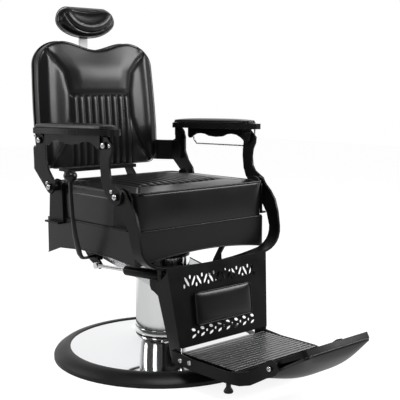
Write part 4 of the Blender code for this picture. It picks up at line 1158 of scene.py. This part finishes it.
def build_floor():
    """A pale sweep: white to the camera, with the chair's soft shadow kept.

    With s what the camera or a reflection is shown, the colour is 0.10 + 0.22 s, with 0.65 more for diffuse
    light, and the glow is 0.86 s. Reflections near the chair are shown at least 0.55.
    """
    u, v = np.meshgrid(np.linspace(-9, 9, 37), np.linspace(-9, 9, 37), indexing="ij")
    points = np.stack([u, v, np.full_like(u, -0.0005)], -1)
    floor = make_mesh("studio_floor", points.reshape(-1, 3), grid_faces(37, 37))
    material = bpy.data.materials.new("studio_floor")
    material.use_nodes = True
    tree = material.node_tree
    shader = tree.nodes["Principled BSDF"]
    shader.inputs["Roughness"].default_value = 0.9
    shader.inputs["Specular IOR Level"].default_value = 0.1
    place = tree.nodes.new("ShaderNodeNewGeometry")
    path = tree.nodes.new("ShaderNodeLightPath")
    reach = tree.nodes.new("ShaderNodeVectorMath")
    reach.operation = "LENGTH"
    tree.links.new(place.outputs["Position"], reach.inputs[0])
    near = map_range(tree, reach.outputs["Value"], (1.9, 3.2), (0.55, 0.0), smooth=True)
    near = arithmetic(tree, "MULTIPLY", near, path.outputs["Is Glossy Ray"])
    far = light_path(tree, place.outputs["Position"], -0.4, 1.2)
    shown = arithmetic(tree, "MAXIMUM", far, near)
    seen = arithmetic(tree, "MULTIPLY_ADD", shown, 0.22, 0.10)
    grey = arithmetic(tree, "MULTIPLY_ADD", path.outputs["Is Diffuse Ray"], 0.65, seen)
    tree.links.new(grey, shader.inputs["Base Color"])
    shader.inputs["Emission Color"].default_value = (1, 1, 1, 1)
    tree.links.new(arithmetic(tree, "MULTIPLY", shown, 0.86), shader.inputs["Emission Strength"])
    floor.data.materials.append(material)


def place_camera(stage):
    """Places the camera that took the photograph, turned by azimuth t and tilted down by pitch p.

    Its axes are back = (sin t cos p, -cos t cos p, sin p), right = (cos t, sin t, 0) and up = back x right.
    """
    azimuth, pitch = stage.azimuth, stage.pitch
    level = math.cos(pitch)
    back = np.array([math.sin(azimuth) * level, -math.cos(azimuth) * level, math.sin(pitch)])
    right = np.array([math.cos(azimuth), math.sin(azimuth), 0.0])
    up = np.cross(back, right)
    camera = bpy.data.objects.new("photo_camera", bpy.data.cameras.new("photo_camera"))
    bpy.context.scene.collection.objects.link(camera)
    turn = Matrix([[right[k], up[k], back[k]] for k in range(3)])
    camera.matrix_world = Matrix.Translation(stage.place) @ turn.to_4x4()
    camera.data.sensor_width = 36
    camera.data.lens = stage.lens
    bpy.context.scene.camera = camera


# ---------------------------------------------------------------- operators


class ChairOperator:
    """What every step shares."""

    bl_options = {"REGISTER", "UNDO"}


class FinishFrame(ChairOperator, bpy.types.Operator):
    """Makes the finishes and puts them on the frame's own parts."""

    bl_idname = "barber_chair.finish_frame"
    bl_label = "Finish the Frame"

    def execute(self, context):
        FINISHES.update(make_finishes(context.scene.barber_chair_look))
        finish_frame()
        return {"FINISHED"}


class AddSeat(ChairOperator, bpy.types.Operator):
    """Upholsters the seat with its channelled middle and piped edges."""

    bl_idname = "barber_chair.add_seat"
    bl_label = "Upholster Seat"

    def execute(self, context):
        build_seat()
        return {"FINISHED"}


class AddValance(ChairOperator, bpy.types.Operator):
    """Hangs the valance with its arched hem below the seat."""

    bl_idname = "barber_chair.add_valance"
    bl_label = "Add Valance"

    def execute(self, context):
        build_valance()
        return {"FINISHED"}


class AddBack(ChairOperator, bpy.types.Operator):
    """Upholsters the back with its channels, seams and rear shell."""

    bl_idname = "barber_chair.add_back"
    bl_label = "Upholster Back"

    def execute(self, context):
        build_back()
        return {"FINISHED"}


class AddHeadrest(ChairOperator, bpy.types.Operator):
    """Upholsters the headrest."""

    bl_idname = "barber_chair.add_headrest"
    bl_label = "Upholster Headrest"

    def execute(self, context):
        build_headrest()
        return {"FINISHED"}


class AddArmPads(ChairOperator, bpy.types.Operator):
    """Upholsters both armrests."""

    bl_idname = "barber_chair.add_arm_pads"
    bl_label = "Upholster Armrests"

    def execute(self, context):
        for mark in ("R", "L"):
            build_arm_pad(mark)
        return {"FINISHED"}


class AddLegPads(ChairOperator, bpy.types.Operator):
    """Upholsters the calf panel's middle and the flip plate."""

    bl_idname = "barber_chair.add_leg_pads"
    bl_label = "Upholster Legrest"

    def execute(self, context):
        build_calf_pad()
        build_flip_pad()
        return {"FINISHED"}


class AddHardware(ChairOperator, bpy.types.Operator):
    """Adds the bolts, the lever's knob and the pump's trim."""

    bl_idname = "barber_chair.add_hardware"
    bl_label = "Add Hardware"

    def execute(self, context):
        build_bolts()
        build_knob()
        build_pump_trim()
        build_base_cover()
        return {"FINISHED"}


class SmoothFrame(ChairOperator, bpy.types.Operator):
    """Stands finely rounded copies in for the frame's rigid parts."""

    bl_idname = "barber_chair.smooth_frame"
    bl_label = "Round the Frame's Edges"

    def execute(self, context):
        for node in sorted(NODES):
            if not NODES[node].hide_render:
                smoothed_copy(node, finish_of(node))
        return {"FINISHED"}


class SetStage(ChairOperator, bpy.types.Operator):
    """Lays the floor, hangs the lamps and places the camera."""

    bl_idname = "barber_chair.set_stage"
    bl_label = "Set the Stage"

    def execute(self, context):
        stage = context.scene.barber_chair_stage
        build_floor()
        world_light()
        power = stage.lamp_power
        lamp("key", (-0.9, -1.5, 3.0), (0, 0, 0.6), (1.2, 1.2), power * 1.2)
        lamp("front_right", (2.2, -1.9, 1.75), (0, 0, 0.80), (1.1, 1.2), power * 1.15)
        lamp("left_rear", (-2.0, 2.0, 1.5), (0, 0, 0.7), (0.8, 1.6), power * 0.45)
        lamp("left", (-2.7, -0.5, 1.7), (0, 0, 0.7), (0.7, 1.4), power * 0.18)
        place_camera(stage)
        return {"FINISHED"}


class ChairPanel(bpy.types.Panel):
    """Lists the chair's steps and settings."""

    bl_idname = "VIEW3D_PT_barber_chair"
    bl_label = "Barber Chair"
    bl_space_type = "VIEW_3D"
    bl_region_type = "UI"
    bl_category = "Barber Chair"

    def draw(self, context):
        for settings in (context.scene.barber_chair_look, context.scene.barber_chair_sizes,
                         context.scene.barber_chair_stage):
            for name in settings.__annotations__:
                self.layout.prop(settings, name)
        for step_class in STEPS:
            self.layout.operator(step_class.bl_idname)


SETTINGS = {"barber_chair_look": BarberChairLook, "barber_chair_sizes": BarberChairSizes,
            "barber_chair_stage": BarberChairStage}
STEPS = (FinishFrame, SetStage, AddSeat, AddValance, AddBack, AddHeadrest, AddArmPads, AddLegPads,
         AddHardware, SmoothFrame)


def register():
    """Registers the settings, the steps and the panel."""
    for name, group in SETTINGS.items():
        bpy.utils.register_class(group)
        setattr(bpy.types.Scene, name, bpy.props.PointerProperty(type=group))
    for step_class in STEPS:
        bpy.utils.register_class(step_class)
    bpy.utils.register_class(ChairPanel)


def unregister():
    """Takes away what register added, in the opposite order."""
    bpy.utils.unregister_class(ChairPanel)
    for step_class in reversed(STEPS):
        bpy.utils.unregister_class(step_class)
    for name, group in SETTINGS.items():
        delattr(bpy.types.Scene, name)
        bpy.utils.unregister_class(group)


def main():
    """Runs every step in an empty scene."""
    for obj in list(bpy.context.scene.objects):
        if obj.name in ("Cube", "Light", "Camera"):
            bpy.data.objects.remove(obj)
    bpy.context.scene.view_settings.view_transform = "Standard"
    register()
    for step_class in STEPS:
        group, name = step_class.bl_idname.split(".")
        getattr(getattr(bpy.ops, group), name)()
    bpy.context.view_layer.update()


if __name__ == "__main__":
    main()
